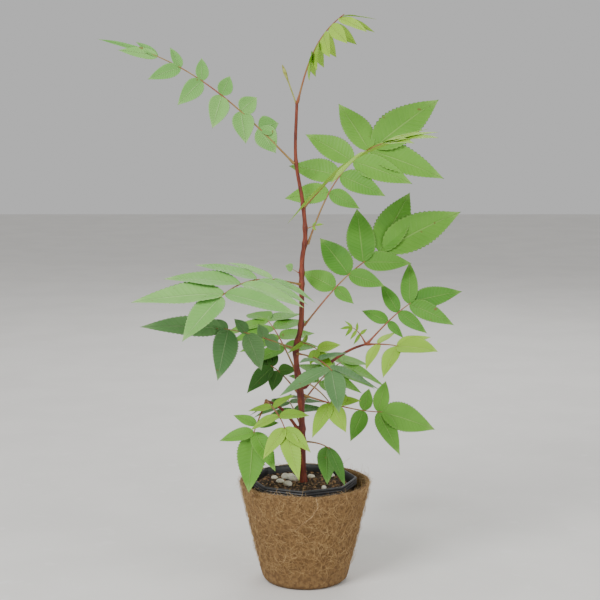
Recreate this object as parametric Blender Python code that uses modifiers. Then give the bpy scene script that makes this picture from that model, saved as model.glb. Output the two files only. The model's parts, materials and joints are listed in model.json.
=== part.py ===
"""A young Japanese wingnut in a coir pot, as separate solids in metres, +Z up.

The origin is the centre of the pot's flat foot, which stands on the ground. Seen from the front,
+X is to the right and +Y points away. Each compound leaf is one solid: a stalk with its leaflets.
"""

import math
import random
from typing import NamedTuple

import bmesh
import bpy
from mathutils import Matrix, Vector
from mathutils.bvhtree import BVHTree

# Clearances
GAP = 0.0003

# Coir pot
POT_HEIGHT = 0.099
POT_RIM_RADIUS = 0.0635
POT_FOOT_RADIUS = 0.0425
POT_WALL = 0.004
POT_FLOOR = 0.005
POT_EDGE = 0.007
POT_LIP = 0.001
POT_STEPS = 48

# Nursery pot that stands in it
LINER_PLACE = Vector((-0.002, -0.005, POT_FLOOR + GAP))
LINER_HEIGHT = 0.098
LINER_RIM_RADIUS = 0.0520
LINER_FOOT_RADIUS = 0.0335
LINER_WALL = 0.0012
LINER_RIB_HEIGHT = 0.0026
LINER_RIB_DEPTH = 0.0012
LINER_RIBS = 3
LINER_SIDES = 8
LINER_STEPS = 32

# Potting mix and the stones on it
MIX_TOP = 0.0962
STONES = (
    (-0.019, 0.016, 0.0050),
    (-0.011, 0.007, 0.0052),
    (-0.014, 0.020, 0.0040),
    (-0.024, -0.001, 0.0040),
    (-0.017, -0.010, 0.0045),
    (0.006, 0.018, 0.0035),
    (0.025, 0.020, 0.0040),
    (0.018, -0.022, 0.0030),
    (-0.030, 0.014, 0.0032),
)
STONE_RISE = 0.3
STONE_SHAPE = (1.1, 0.85, 0.7)
STONE_SEED = 5

# Main stem: height of each bend, how far it stands right and back, and its radius there
STEM_BENDS = (
    (MIX_TOP + GAP, -0.002, 0.000, 0.0046),
    (0.106, -0.002, 0.000, 0.0032),
    (0.178, -0.004, 0.001, 0.0028),
    (0.226, -0.009, -0.001, 0.0026),
    (0.252, -0.004, 0.000, 0.0025),
    (0.315, -0.003, 0.001, 0.0023),
    (0.336, 0.000, 0.000, 0.0021),
    (0.367, -0.002, 0.000, 0.0019),
    (0.412, -0.009, 0.001, 0.0016),
    (0.464, -0.008, 0.000, 0.0014),
)
STEM_FLARE = (0.003, 0.008)
STEM_STEP = 0.012

# Terminal bud: its reach from the stem's tip, and its radius at shares of that
BUD_FOOT = (-0.0012, 0.0, 0.0009)
BUD_REACH = (-0.013, 0.0, 0.036)
BUD_RADII = (
    (0.00, 0.0009),
    (0.30, 0.0007),
    (0.55, 0.0007),
    (0.66, 0.0012),
    (0.80, 0.0016),
    (0.92, 0.0011),
    (1.00, 0.0003),
)

# Limbs: the peak of share - share**3 is 1 / ARCH
ARCH = 2.6
BOUGH_PIECES = 6
BARE_STUB = 0.004

# Leaf stalks and leaflets
STALK_FOOT_RADIUS = 0.0011
STALK_TIP_RADIUS = 0.0006
STALK_PIECES = 7
LAST_PAIR = 0.94
LEAFLET_THICKNESS = 0.016
LEAFLET_FOLD = 0.22
LEAFLET_CURL = 0.08
LEAFLET_STATIONS = (0.13, 0.36, 0.70)
SMALL_LEAFLET = 0.022
SMALL_STATIONS = (0.22, 0.62)
FLEX_ANGLE = 3.0
FLEX_LENGTH = 0.04


class Limb(NamedTuple):
    """A bough that grows from the main stem."""

    name: str
    foot: float  # height on the stem
    reach: tuple[float, float, float]  # right, back and up, from foot to tip
    bow: float  # how far its middle is arched up
    radii: tuple[float, float]  # at the foot and at the tip


class Side(NamedTuple):
    """The leaflets on one side of a stalk, from the first to the last."""

    count: int
    first: tuple[float, float]  # angle from the stalk in degrees, and length
    last: tuple[float, float]


class Leaf(NamedTuple):
    """A compound leaf: a stalk with leaflets on both sides and one at its end."""

    name: str
    carrier: str  # the stem, or the bough whose tip it grows from
    foot: float  # height on the stem
    reach: tuple[float, float, float]  # right, back and up, from the stalk's foot to its tip
    bow: float  # how far the stalk is arched up
    bare: float  # share of the stalk below the first leaflets
    left: Side
    right: Side
    end: tuple[float, float, float]  # length, width by length, and droop of the leaflet at the end
    broad: tuple[float, float]  # width of the first and of the last leaflets, by their length
    tilt: float  # how far the blades' face is tipped from straight up towards the front
    droop: tuple[float, float]  # how far the first and the last leaflets sink, by their length
    tone: str


BOUGHS = (
    Limb("right_bough", 0.190, (0.061, 0.018, 0.040), 0.006, (0.0018, 0.0012)),
    Limb("lower_left_bough", 0.150, (-0.030, -0.010, 0.030), 0.004, (0.0017, 0.0012)),
)

LEAVES = (
    Leaf("top_leaf", "stem_tip", 0, (0.043, -0.010, 0.080), 0.009, 0.50,
         Side(5, (95, 0.026), (32, 0.040)), Side(5, (80, 0.032), (34, 0.042)),
         (0.032, 0.26, 0.60), (0.62, 0.26), 0, (1.20, 0.72), "lime"),
    Leaf("upper_left_leaf", "stem", 0.408, (-0.135, -0.020, 0.103), 0.010, 0.27,
         Side(6, (168, 0.028), (12, 0.037)), Side(6, (118, 0.022), (16, 0.025)),
         (0.052, 0.10, 0.02), (0.88, 0.30), 60, (0.00, 0.00), "pale"),
    Leaf("front_right_leaf", "stem", 0.367, (0.074, -0.090, 0.065), 0.008, 0.58,
         Side(3, (50, 0.062), (10, 0.062)), Side(3, (140, 0.078), (14, 0.060)),
         (0.066, 0.24, 0.05), (0.28, 0.22), 24, (0.15, 0.05), "lime"),
    Leaf("upper_right_leaf", "stem", 0.331, (0.066, 0.035, 0.090), 0.014, 0.44,
         Side(4, (122, 0.044), (84, 0.064)), Side(4, (88, 0.032), (48, 0.076)),
         (0.092, 0.40, -0.35), (0.48, 0.44), 60, (0.00, 0.00), "mid"),
    Leaf("middle_right_leaf", "stem", 0.252, (0.079, 0.030, 0.070), 0.007, 0.42,
         Side(4, (98, 0.037), (35, 0.080)), Side(3, (84, 0.023), (34, 0.048)),
         (0.094, 0.40, -0.10), (0.56, 0.40), 60, (0.00, 0.00), "mid"),
    Leaf("right_leaf", "right_bough", 0, (0.043, 0.002, 0.040), 0.002, 0.48,
         Side(3, (107, 0.030), (55, 0.045)), Side(3, (87, 0.022), (60, 0.049)),
         (0.052, 0.40, 0.30), (0.42, 0.38), 60, (0.00, 0.00), "mid"),
    Leaf("right_front_leaf", "right_bough", 0, (0.028, -0.028, 0.003), 0.001, 0.34,
         Side(2, (85, 0.028), (62, 0.036)), Side(2, (84, 0.030), (72, 0.038)),
         (0.050, 0.48, -0.15), (0.48, 0.48), 40, (0.15, 0.15), "lime"),
    Leaf("right_young_leaf", "right_bough", 0, (-0.014, -0.004, 0.016), 0.002, 0.45,
         Side(3, (80, 0.012), (50, 0.012)), Side(3, (80, 0.012), (50, 0.012)),
         (0.012, 0.30, 0.40), (0.30, 0.30), 45, (0.40, 0.40), "lime"),
    Leaf("big_left_leaf", "stem", 0.292, (-0.072, -0.090, 0.000), 0.011, 0.35,
         Side(4, (122, 0.045), (114, 0.066)), Side(4, (56, 0.050), (52, 0.084)),
         (0.060, 0.44, 0.08), (0.44, 0.36), 32, (0.00, 0.04), "pale"),
    Leaf("left_leaf", "stem", 0.230, (-0.065, -0.030, 0.024), 0.002, 0.42,
         Side(3, (165, 0.019), (78, 0.051)), Side(3, (56, 0.017), (20, 0.022)),
         (0.086, 0.24, 0.02), (0.80, 0.52), 60, (0.00, 0.00), "grey"),
    Leaf("left_dark_leaf", "stem", 0.186, (-0.026, 0.020, 0.022), 0.002, 0.75,
         Side(2, (122, 0.022), (80, 0.035)), Side(2, (130, 0.018), (56, 0.021)),
         (0.030, 0.55, 0.00), (0.70, 0.55), 60, (0.00, 0.00), "dark"),
    Leaf("centre_leaf", "stem", 0.225, (0.032, -0.060, -0.005), 0.004, 0.62,
         Side(2, (85, 0.030), (92, 0.062)), Side(2, (70, 0.028), (104, 0.052)),
         (0.038, 0.58, 1.80), (0.44, 0.38), 5, (-0.20, 0.45), "grey"),
    Leaf("centre_young_leaf", "stem", 0.236, (0.018, -0.024, -0.004), 0.002, 0.30,
         Side(2, (130, 0.015), (66, 0.024)), Side(2, (136, 0.020), (60, 0.018)),
         (0.036, 0.26, 0.20), (0.40, 0.60), 55, (0.00, 0.00), "lime"),
    Leaf("lower_right_leaf", "stem", 0.183, (0.077, 0.010, -0.019), -0.003, 0.76,
         Side(2, (80, 0.026), (78, 0.036)), Side(2, (112, 0.032), (62, 0.046)),
         (0.056, 0.52, 0.22), (0.52, 0.44), 60, (0.00, 0.00), "mid"),
    Leaf("lower_right_young_leaf", "stem", 0.200, (0.030, -0.045, -0.018), 0.004, 0.92,
         Side(1, (66, 0.030), (66, 0.030)), Side(1, (54, 0.038), (54, 0.038)),
         (0.030, 0.55, 0.00), (0.40, 0.40), 60, (0.00, 0.00), "lime"),
    Leaf("lower_front_right_leaf", "stem", 0.138, (0.024, -0.045, 0.004), 0.002, 0.88,
         Side(1, (120, 0.022), (120, 0.022)), Side(1, (28, 0.038), (28, 0.038)),
         (0.040, 0.34, 0.75), (0.50, 0.50), 0, (1.00, 1.00), "dark"),
    Leaf("lower_left_leaf", "lower_left_bough", 0, (-0.011, -0.030, -0.024), 0.001, 0.74,
         Side(2, (120, 0.022), (42, 0.042)), Side(2, (104, 0.026), (62, 0.034)),
         (0.052, 0.54, 2.00), (0.46, 0.42), 60, (0.00, 0.00), "mid"),
    Leaf("lower_front_left_leaf", "lower_left_bough", 0, (0.018, -0.042, -0.018), 0.004, 0.28,
         Side(3, (78, 0.026), (30, 0.036)), Side(3, (118, 0.025), (52, 0.036)),
         (0.050, 0.36, 0.10), (0.46, 0.40), 60, (-0.20, 0.00), "lime"),
    Leaf("tiny_young_leaf", "stem", 0.346, (0.008, -0.003, 0.003), 0.000, 0.60,
         Side(1, (60, 0.008), (60, 0.008)), Side(1, (60, 0.007), (60, 0.007)),
         (0.008, 0.40, 0.10), (0.40, 0.40), 40, (0.10, 0.10), "lime"),
    Leaf("small_round_leaf", "stem", 0.303, (-0.006, -0.003, 0.004), 0.000, 0.60,
         Side(0, (0, 0), (0, 0)), Side(0, (0, 0), (0, 0)),
         (0.009, 0.95, 0.00), (0.90, 0.90), 60, (0.00, 0.00), "pale"),
    Leaf("back_left_leaf", "stem", 0.205, (-0.030, 0.075, 0.040), 0.004, 0.40,
         Side(4, (80, 0.036), (60, 0.052)), Side(4, (80, 0.036), (60, 0.052)),
         (0.060, 0.40, 0.20), (0.48, 0.42), 35, (0.20, 0.20), "mid"),
    Leaf("back_right_leaf", "stem", 0.176, (0.040, 0.070, 0.026), 0.004, 0.40,
         Side(4, (80, 0.035), (60, 0.050)), Side(4, (80, 0.035), (60, 0.050)),
         (0.060, 0.40, 0.20), (0.48, 0.42), 40, (0.20, 0.20), "mid"),
    Leaf("low_back_leaf", "stem", 0.150, (-0.016, 0.065, 0.016), 0.004, 0.45,
         Side(3, (80, 0.036), (60, 0.045)), Side(3, (80, 0.036), (60, 0.045)),
         (0.050, 0.42, 0.20), (0.48, 0.42), 40, (0.20, 0.25), "dark"),
)

# Colours by leaf tone, and the other sub-parts' colours with their roughness
TONES = {
    "lime": (0.42, 0.62, 0.10),
    "pale": (0.30, 0.55, 0.16),
    "mid": (0.19, 0.44, 0.08),
    "dark": (0.09, 0.28, 0.05),
    "grey": (0.22, 0.42, 0.17),
}
LEAF_ROUGHNESS = 0.6
COIR_FINISH = ((0.40, 0.24, 0.10), 0.95)
LINER_FINISH = ((0.02, 0.02, 0.03), 0.45)
MIX_FINISH = ((0.10, 0.07, 0.04), 0.95)
BARK_FINISH = ((0.28, 0.08, 0.03), 0.6)
BUD_FINISH = ((0.40, 0.42, 0.10), 0.6)


def clear_scene():
    """Removes the objects that the file starts with."""
    for thing in list(bpy.data.objects):
        bpy.data.objects.remove(thing)


def new_collection(name):
    """A collection under the scene's own."""
    collection = bpy.data.collections.new(name)
    bpy.context.scene.collection.children.link(collection)
    return collection


def finish(name, colour, roughness):
    """A Principled material of one colour."""
    material = bpy.data.materials.new(name)
    material.use_nodes = True
    shader = material.node_tree.nodes["Principled BSDF"]
    shader.inputs["Base Color"].default_value = (*colour, 1)
    shader.inputs["Roughness"].default_value = roughness
    shader.inputs["Metallic"].default_value = 0
    return material


def add_object(name, mesh, collection, material=None):
    """Puts a mesh in the collection as an object."""
    thing = bpy.data.objects.new(name, mesh)
    collection.objects.link(thing)
    if material:
        mesh.materials.append(material)
    return thing


def applied(thing):
    """Bakes an object's modifiers, or its curve, into a welded mesh of the same name."""
    graph = bpy.context.evaluated_depsgraph_get()
    mesh = bpy.data.meshes.new_from_object(thing.evaluated_get(graph))
    shape = bmesh.new()
    shape.from_mesh(mesh)
    bmesh.ops.remove_doubles(shape, verts=shape.verts, dist=1e-6)
    bmesh.ops.recalc_face_normals(shape, faces=shape.faces)
    shape.to_mesh(mesh)
    shape.free()
    name, home, place = thing.name, thing.users_collection[0], thing.matrix_world.copy()
    bpy.data.objects.remove(thing)
    baked = add_object(name, mesh, home)
    baked.matrix_world = place
    return baked


def turned(name, profile, steps, collection):
    """A body of revolution: a profile of (radius, height) that runs down its outer side."""
    mesh = bpy.data.meshes.new(name)
    edges = [(i, (i + 1) % len(profile)) for i in range(len(profile))]
    mesh.from_pydata([(radius, 0, height) for radius, height in profile], edges, [])
    thing = add_object(name, mesh, collection)
    screw = thing.modifiers.new("turn", "SCREW")
    screw.steps = screw.render_steps = steps
    screw.use_merge_vertices = True
    screw.merge_threshold = 0.00001
    screw.use_smooth_shade = False
    return thing


def tube(name, points, radii, collection, sides_level=0):
    """A tapered tube along points, as a welded mesh with closed ends."""
    curve = bpy.data.curves.new(name, "CURVE")
    curve.dimensions = "3D"
    curve.bevel_depth = 1.0
    curve.bevel_resolution = sides_level
    curve.use_fill_caps = True
    spline = curve.splines.new("POLY")
    spline.points.add(len(points) - 1)
    for knot, point, radius in zip(spline.points, points, radii):
        knot.co = (*point, 1)
        knot.radius = radius
    return applied(add_object(name, curve, collection))


def fuse(name, pieces, collection, material):
    """One solid from closed pieces that overlap, by one Boolean union."""
    base, *others = pieces
    group = bpy.data.collections.new(name + "_pieces")
    for piece in others:
        group.objects.link(piece)
    union = base.modifiers.new("union", "BOOLEAN")
    union.operation = "UNION"
    union.operand_type = "COLLECTION"
    union.collection = group
    union.solver = "MANIFOLD"
    solid = applied(base)
    for piece in others:
        bpy.data.objects.remove(piece)
    bpy.data.collections.remove(group)
    for home in list(solid.users_collection):
        home.objects.unlink(solid)
    collection.objects.link(solid)
    solid.name = name
    solid.data.materials.clear()
    solid.data.materials.append(material)
    return solid


def blend(start, end, share):
    """The value that lies at a share of the way from start to end."""
    return start + (end - start) * share


def stem_at(height):
    """Centre and radius of the main stem at a height, on a smooth curve through its bends."""
    rows = STEM_BENDS
    last = len(rows) - 2
    i = next((n for n in range(last) if height < rows[n + 1][0]), last)
    low, high = rows[i], rows[i + 1]
    share = min(1.0, max(0.0, (height - low[0]) / (high[0] - low[0])))
    before, after = rows[max(0, i - 1)], rows[min(len(rows) - 1, i + 2)]

    def eased(column):
        """Cubic through the two bends, with the slopes of their neighbours."""
        step = high[0] - low[0]
        slope_low = (high[column] - before[column]) / (high[0] - before[0]) * step
        slope_high = (after[column] - low[column]) / (after[0] - low[0]) * step
        square, cube = share**2, share**3
        return (
            low[column] * (2 * cube - 3 * square + 1)
            + slope_low * (cube - 2 * square + share)
            + high[column] * (3 * square - 2 * cube)
            + slope_high * (cube - square)
        )

    centre = Vector((eased(1), eased(2), height))
    return centre, blend(low[3], high[3], share)


def arch(foot, reach, bow, share):
    """Point at a share of the way along a limb that bows upwards, and most so near its tip."""
    along = reach.normalized()
    up = Vector((0, 0, 1)) - along * along.z
    return foot + reach * share + up.normalized() * (bow * ARCH * (share - share**3))


def heading(foot, reach, bow, share):
    """Direction of such a limb at a share of its way."""
    ahead = arch(foot, reach, bow, min(1.0, share + 0.02))
    behind = arch(foot, reach, bow, max(0.0, share - 0.02))
    return (ahead - behind).normalized()


def foot_on_stem(height, reach, bow, radius):
    """Where a limb's foot stands clear of the stem, on the side it grows to."""
    centre, stem_radius = stem_at(height)
    along = heading(centre, reach, bow, 0)
    outward = Vector((along.x, along.y, 0)).normalized()
    return centre + outward * (stem_radius + 1.3 * GAP + radius * abs(along.z))


def limb_course(foot, reach, bow, radii, pieces):
    """Points and radii along a limb."""
    shares = [i / pieces for i in range(pieces + 1)]
    points = [arch(foot, reach, bow, share) for share in shares]
    return points, [blend(*radii, share) for share in shares]


def leaflet_outline(share):
    """Width of a leaflet at a share of its length, 1 where it is widest, at about a third."""
    widest = 0.35
    shape = share**0.62 * (1 - share) ** 1.15
    return shape / (widest**0.62 * (1 - widest) ** 1.15)


class Blade(NamedTuple):
    """Where one leaflet lies."""

    root: Vector
    along: Vector
    across: Vector
    length: float
    width: float


def blade_point(blade, share, side):
    """Point of a leaflet's middle surface: side is 0 on its rib and 1 or -1 at its edges."""
    down = Vector((0, 0, -LEAFLET_CURL))
    rib = blade.root + (blade.along * share + down * share**2) * blade.length
    tangent = (blade.along + 2 * down * share).normalized()
    normal = tangent.cross(blade.across).normalized()
    reach = 0.5 * leaflet_outline(share) * blade.width * side
    return rib + blade.across * reach + normal * (abs(reach) * LEAFLET_FOLD), normal


def leaflet(name, blade, collection):
    """A leaflet as a closed blade: sharp edges, thickest along its rib, pointed at both ends."""
    stations = SMALL_STATIONS if blade.length < SMALL_LEAFLET else LEAFLET_STATIONS
    half = 0.5 * LEAFLET_THICKNESS * blade.length
    shape = bmesh.new()
    root = shape.verts.new(blade_point(blade, 0, 0)[0])
    tip = shape.verts.new(blade_point(blade, 1, 0)[0])
    rows = []
    for share in stations:
        rib, normal = blade_point(blade, share, 0)
        offset = normal * half
        rows.append(
            [
                shape.verts.new(blade_point(blade, share, 1)[0]),
                shape.verts.new(rib + offset),
                shape.verts.new(blade_point(blade, share, -1)[0]),
                shape.verts.new(rib - offset),
            ]
        )
    for i in range(4):
        j = (i + 1) % 4
        shape.faces.new((root, rows[0][i], rows[0][j]))
        shape.faces.new((tip, rows[-1][j], rows[-1][i]))
        for near, far in zip(rows, rows[1:]):
            shape.faces.new((near[i], far[i], far[j], near[j]))
    bmesh.ops.triangulate(shape, faces=shape.faces)
    bmesh.ops.recalc_face_normals(shape, faces=shape.faces)
    mesh = bpy.data.meshes.new(name)
    shape.to_mesh(mesh)
    shape.free()
    return add_object(name, mesh, collection)


def leaf_foot(leaf, tips, built, workshop):
    """Where a leaf's stalk starts: beside the stem, or as near a limb's tip as stays clear."""
    reach = Vector(leaf.reach)
    if leaf.carrier == "stem":
        return foot_on_stem(leaf.foot, reach, leaf.bow, STALK_FOOT_RADIUS)
    along = reach.normalized()
    foot = tips[leaf.carrier]
    touched = True
    while touched:
        foot = foot + along * GAP
        stub = [foot - along * GAP, foot + along * BARE_STUB]
        stub = tube("stub", stub, [STALK_FOOT_RADIUS + GAP] * 2, workshop)
        touched = any(tree_of(stub).overlap(other) for other in built)
        bpy.data.objects.remove(stub)
    return foot


def left_of(along, tilt):
    """The blade's left-hand direction, square to its stalk, for a face tipped to the front."""
    tip = math.radians(tilt)
    return Vector((0, -math.sin(tip), math.cos(tip))).cross(along).normalized()


def blade_towards(root, along, left, angle, size, width, droop):
    """A leaflet that leaves its stalk at an angle, to the left for a positive one."""
    turn = math.radians(angle)
    direction = along * math.cos(turn) + left * math.sin(turn) - Vector((0, 0, droop))
    direction.normalize()
    across = along.cross(left).cross(direction).normalized()
    return Blade(root, direction, across, size, width * size)


def blades_of(leaf, foot):
    """The leaflets of a leaf: its left side, its right side and then the one at its end."""
    chance = random.Random(leaf.name)
    reach = Vector(leaf.reach)
    pairs = max(leaf.left.count, leaf.right.count)
    blades = []
    for side, sign in ((leaf.left, 1), (leaf.right, -1)):
        for number in range(side.count):
            along_stalk = number / max(1, pairs - 1)
            along_side = number / max(1, side.count - 1)
            place = blend(leaf.bare, LAST_PAIR, along_stalk)
            along = heading(foot, reach, leaf.bow, place)
            angle = blend(side.first[0], side.last[0], along_side)
            angle += chance.uniform(-FLEX_ANGLE, FLEX_ANGLE)
            size = blend(side.first[1], side.last[1], along_side)
            size *= 1 + chance.uniform(-FLEX_LENGTH, FLEX_LENGTH)
            width = blend(*leaf.broad, along_stalk)
            droop = blend(*leaf.droop, along_stalk)
            root = arch(foot, reach, leaf.bow, place)
            left = left_of(along, leaf.tilt)
            blades.append(blade_towards(root, along, left, sign * angle, size, width, droop))
    along = heading(foot, reach, leaf.bow, 1)
    root = arch(foot, reach, leaf.bow, 0.98)
    blades.append(blade_towards(root, along, left_of(along, leaf.tilt), 0, *leaf.end))
    return blades


def build_coir_pot(collection):
    """Tapered pot of pressed fibre, open at the top, with a rounded edge round its flat foot."""
    slope = (POT_RIM_RADIUS - POT_FOOT_RADIUS) / POT_HEIGHT
    corner = []
    for turn in map(math.radians, (0, 30, 60, 90)):
        radius = POT_FOOT_RADIUS - POT_EDGE * (1 - math.cos(turn))
        corner.append((radius, POT_EDGE * (1 - math.sin(turn))))
    inner_foot = POT_FOOT_RADIUS + slope * POT_FLOOR - POT_WALL
    profile = [
        (POT_RIM_RADIUS - POT_WALL, POT_HEIGHT - POT_LIP),
        (POT_RIM_RADIUS - 0.5 * POT_WALL, POT_HEIGHT),
        (POT_RIM_RADIUS, POT_HEIGHT - POT_LIP),
        *corner,
        (0, 0),
        (0, POT_FLOOR),
        (inner_foot, POT_FLOOR),
    ]
    pot = applied(turned("coir_pot", profile, POT_STEPS, collection))
    pot.data.materials.append(finish("coir", *COIR_FINISH))
    return pot


def octagonal(thing):
    """Draws a round body in towards an octagon with soft corners."""
    sector = 2 * math.pi / LINER_SIDES
    for vertex in thing.data.vertices:
        angle = math.atan2(vertex.co.y, vertex.co.x) % sector - sector / 2
        flat = math.cos(sector / 2) / math.cos(angle)
        vertex.co.x *= flat
        vertex.co.y *= flat
    thing.location = LINER_PLACE
    return thing


def build_nursery_pot(collection):
    """Thin plastic pot with ribs round its rim."""
    band = LINER_RIBS * LINER_RIB_HEIGHT
    ribs = []
    for rib in range(LINER_RIBS):
        top = LINER_HEIGHT - rib * LINER_RIB_HEIGHT
        ribs += [
            (LINER_RIM_RADIUS, top),
            (LINER_RIM_RADIUS + LINER_RIB_DEPTH, top - 0.25 * LINER_RIB_HEIGHT),
            (LINER_RIM_RADIUS + LINER_RIB_DEPTH, top - 0.65 * LINER_RIB_HEIGHT),
        ]
    profile = [
        (LINER_RIM_RADIUS - LINER_WALL, LINER_HEIGHT),
        *ribs,
        (LINER_RIM_RADIUS, LINER_HEIGHT - band),
        (LINER_FOOT_RADIUS, 0),
        (0, 0),
        (0, LINER_WALL),
        (LINER_FOOT_RADIUS - LINER_WALL, LINER_WALL),
    ]
    pot = octagonal(applied(turned("nursery_pot", profile, LINER_STEPS, collection)))
    pot.data.materials.append(finish("black_plastic", *LINER_FINISH))
    return pot


def build_potting_mix(collection, workshop):
    """The fill of the nursery pot, with the larger stones half sunk in it."""
    base = LINER_WALL + GAP
    top = MIX_TOP - LINER_PLACE.z
    inner = LINER_RIM_RADIUS - LINER_WALL
    spread = (inner - LINER_FOOT_RADIUS + LINER_WALL) / (LINER_HEIGHT - LINER_WALL)
    foot_radius = LINER_FOOT_RADIUS - LINER_WALL - 1.2 * GAP
    radii = [foot_radius + spread * GAP, foot_radius + spread * (top - LINER_WALL)]
    profile = [(radii[1], top), (radii[0], base), (0, base), (0, top)]
    fill = octagonal(applied(turned("potting_mix", profile, LINER_STEPS, workshop)))
    pieces = [fill]
    chance = random.Random(STONE_SEED)
    for right, back, radius in STONES:
        shape = bmesh.new()
        bmesh.ops.create_icosphere(shape, subdivisions=1, radius=radius)
        turn = chance.uniform(0, math.pi)
        bmesh.ops.scale(shape, vec=STONE_SHAPE, verts=shape.verts)
        bmesh.ops.rotate(
            shape, cent=(0, 0, 0), matrix=Matrix.Rotation(turn, 3, "Z"), verts=shape.verts
        )
        height = MIX_TOP + radius * STONE_RISE
        bmesh.ops.translate(shape, vec=(right, back, height), verts=shape.verts)
        mesh = bpy.data.meshes.new("stone")
        shape.to_mesh(mesh)
        shape.free()
        pieces.append(add_object("stone", mesh, workshop))
    return fuse("potting_mix", pieces, collection, finish("potting_mix", *MIX_FINISH))


def build_main_stem(collection, bark):
    """The stem from its flat cut on the potting mix to the fork at its top."""
    low, high = STEM_BENDS[0][0], STEM_BENDS[-1][0]
    flare = [low, *(low + rise for rise in STEM_FLARE)]
    count = round((high - flare[-1]) / STEM_STEP)
    heights = flare + [blend(flare[-1], high, (i + 1) / count) for i in range(count)]
    course = [stem_at(height) for height in heights]
    stem = tube("main_stem", [c for c, _ in course], [r for _, r in course], collection, 2)
    stem.data.materials.append(bark)
    return stem


def build_bough(limb, collection, bark):
    """One bough, and the point at its tip."""
    reach = Vector(limb.reach)
    foot = foot_on_stem(limb.foot, reach, limb.bow, limb.radii[0])
    points, radii = limb_course(foot, reach, limb.bow, limb.radii, BOUGH_PIECES)
    bough = tube(limb.name, points, radii, collection, 1)
    bough.data.materials.append(bark)
    return bough, points[-1]


def build_terminal_bud(collection, stem_tip):
    """The bud above the fork, on a thin stalk."""
    foot = stem_tip + Vector(BUD_FOOT)
    points = [foot + Vector(BUD_REACH) * share for share, _ in BUD_RADII]
    bud = tube("terminal_bud", points, [radius for _, radius in BUD_RADII], collection, 1)
    bud.data.materials.append(finish("bud", *BUD_FINISH))
    return bud


def tree_of(thing):
    """A search tree of an object's faces."""
    graph = bpy.context.evaluated_depsgraph_get()
    return BVHTree.FromObject(thing, graph)


def build_leaf(leaf, tips, built, collection, workshop, materials):
    """One compound leaf as one solid. A leaflet that would touch a finished piece is left out."""
    foot = leaf_foot(leaf, tips, built, workshop)
    radii = (STALK_FOOT_RADIUS, STALK_TIP_RADIUS)
    course = limb_course(foot, Vector(leaf.reach), leaf.bow, radii, STALK_PIECES)
    pieces = [tube(leaf.name, *course, workshop)]
    for blade in blades_of(leaf, foot):
        piece = leaflet("leaflet", blade, workshop)
        if any(tree_of(piece).overlap(other) for other in built):
            bpy.data.objects.remove(piece)
        else:
            pieces.append(piece)
    return fuse(leaf.name, pieces, collection, materials[leaf.tone])


def main():
    """Builds the pot, the stem, the boughs and then the leaves from the top down."""
    clear_scene()
    plant = new_collection("wingnut_in_pot")
    workshop = new_collection("workshop")
    bark = finish("bark", *BARK_FINISH)
    materials = {tone: finish(tone, colour, LEAF_ROUGHNESS) for tone, colour in TONES.items()}
    solids = [
        build_coir_pot(plant),
        build_nursery_pot(plant),
        build_potting_mix(plant, workshop),
        build_main_stem(plant, bark),
    ]
    stem_tip = stem_at(STEM_BENDS[-1][0])[0]
    tips = {"stem_tip": stem_tip}
    for limb in BOUGHS:
        bough, tips[limb.name] = build_bough(limb, plant, bark)
        solids.append(bough)
    solids.append(build_terminal_bud(plant, stem_tip))
    built = [tree_of(solid) for solid in solids]
    for leaf in LEAVES:
        solid = build_leaf(leaf, tips, built, plant, workshop, materials)
        built.append(tree_of(solid))
    bpy.data.collections.remove(workshop)


if __name__ == "__main__":
    main()
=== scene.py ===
"""Looks of a young Japanese wingnut in a coir pot, in metres, +Z up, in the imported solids' frame.

The pot, the stem and the leaves grow here by the same sizes and rules as the solids, carried finer.
"""

import json
import logging
import math
import random
from collections.abc import Callable, Sequence
from dataclasses import dataclass
from enum import Enum

import bmesh
import bpy
from mathutils import Matrix, Vector, noise

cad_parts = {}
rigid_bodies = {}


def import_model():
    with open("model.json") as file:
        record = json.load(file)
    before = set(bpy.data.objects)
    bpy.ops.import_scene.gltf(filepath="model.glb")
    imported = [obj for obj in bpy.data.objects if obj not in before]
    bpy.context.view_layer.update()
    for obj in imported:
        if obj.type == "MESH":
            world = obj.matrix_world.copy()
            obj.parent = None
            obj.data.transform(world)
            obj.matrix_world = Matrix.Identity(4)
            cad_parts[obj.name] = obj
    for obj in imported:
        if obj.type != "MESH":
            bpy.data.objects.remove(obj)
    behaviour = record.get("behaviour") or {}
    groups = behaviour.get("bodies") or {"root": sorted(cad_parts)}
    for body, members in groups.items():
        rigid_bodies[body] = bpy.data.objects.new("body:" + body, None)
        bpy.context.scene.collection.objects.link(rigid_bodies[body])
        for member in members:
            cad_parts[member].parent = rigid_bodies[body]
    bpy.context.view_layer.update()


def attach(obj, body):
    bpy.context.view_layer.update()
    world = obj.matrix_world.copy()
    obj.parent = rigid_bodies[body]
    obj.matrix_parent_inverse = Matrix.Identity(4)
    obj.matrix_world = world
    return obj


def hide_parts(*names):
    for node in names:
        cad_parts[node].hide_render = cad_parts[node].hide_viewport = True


Pair = tuple[float, float]
Triple = tuple[float, float, float]
LOG = logging.getLogger("wingnut")
BODY = "root"
UP = Vector((0, 0, 1))


class Tone(Enum):
    """The leaves' colours, by their material slot."""

    LIME = "lime"
    PALE = "pale"
    MID = "mid"
    DARK = "dark"
    GREY = "grey"


def shown(red: int, green: int, blue: int) -> Triple:
    """The linear colour of a display colour from 0 to 255."""
    return tuple(((part / 255 + 0.055) / 1.055) ** 2.4 for part in (red, green, blue))


def blend(start: float, end: float, share: float) -> float:
    """The value that lies at a share of the way from start to end."""
    return start + (end - start) * share


def steps(count: int) -> list[float]:
    """Evenly spaced shares from 0 to 1."""
    return [i / count for i in range(count + 1)]


def turns(count: int) -> list[float]:
    """Evenly spaced angles round a circle."""
    return [2 * math.pi * i / count for i in range(count)]


def bell(distance: float, width: float) -> float:
    """A swelling's share at a distance from its middle, 1 there."""
    return math.exp(-((distance / width) ** 2))


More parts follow.
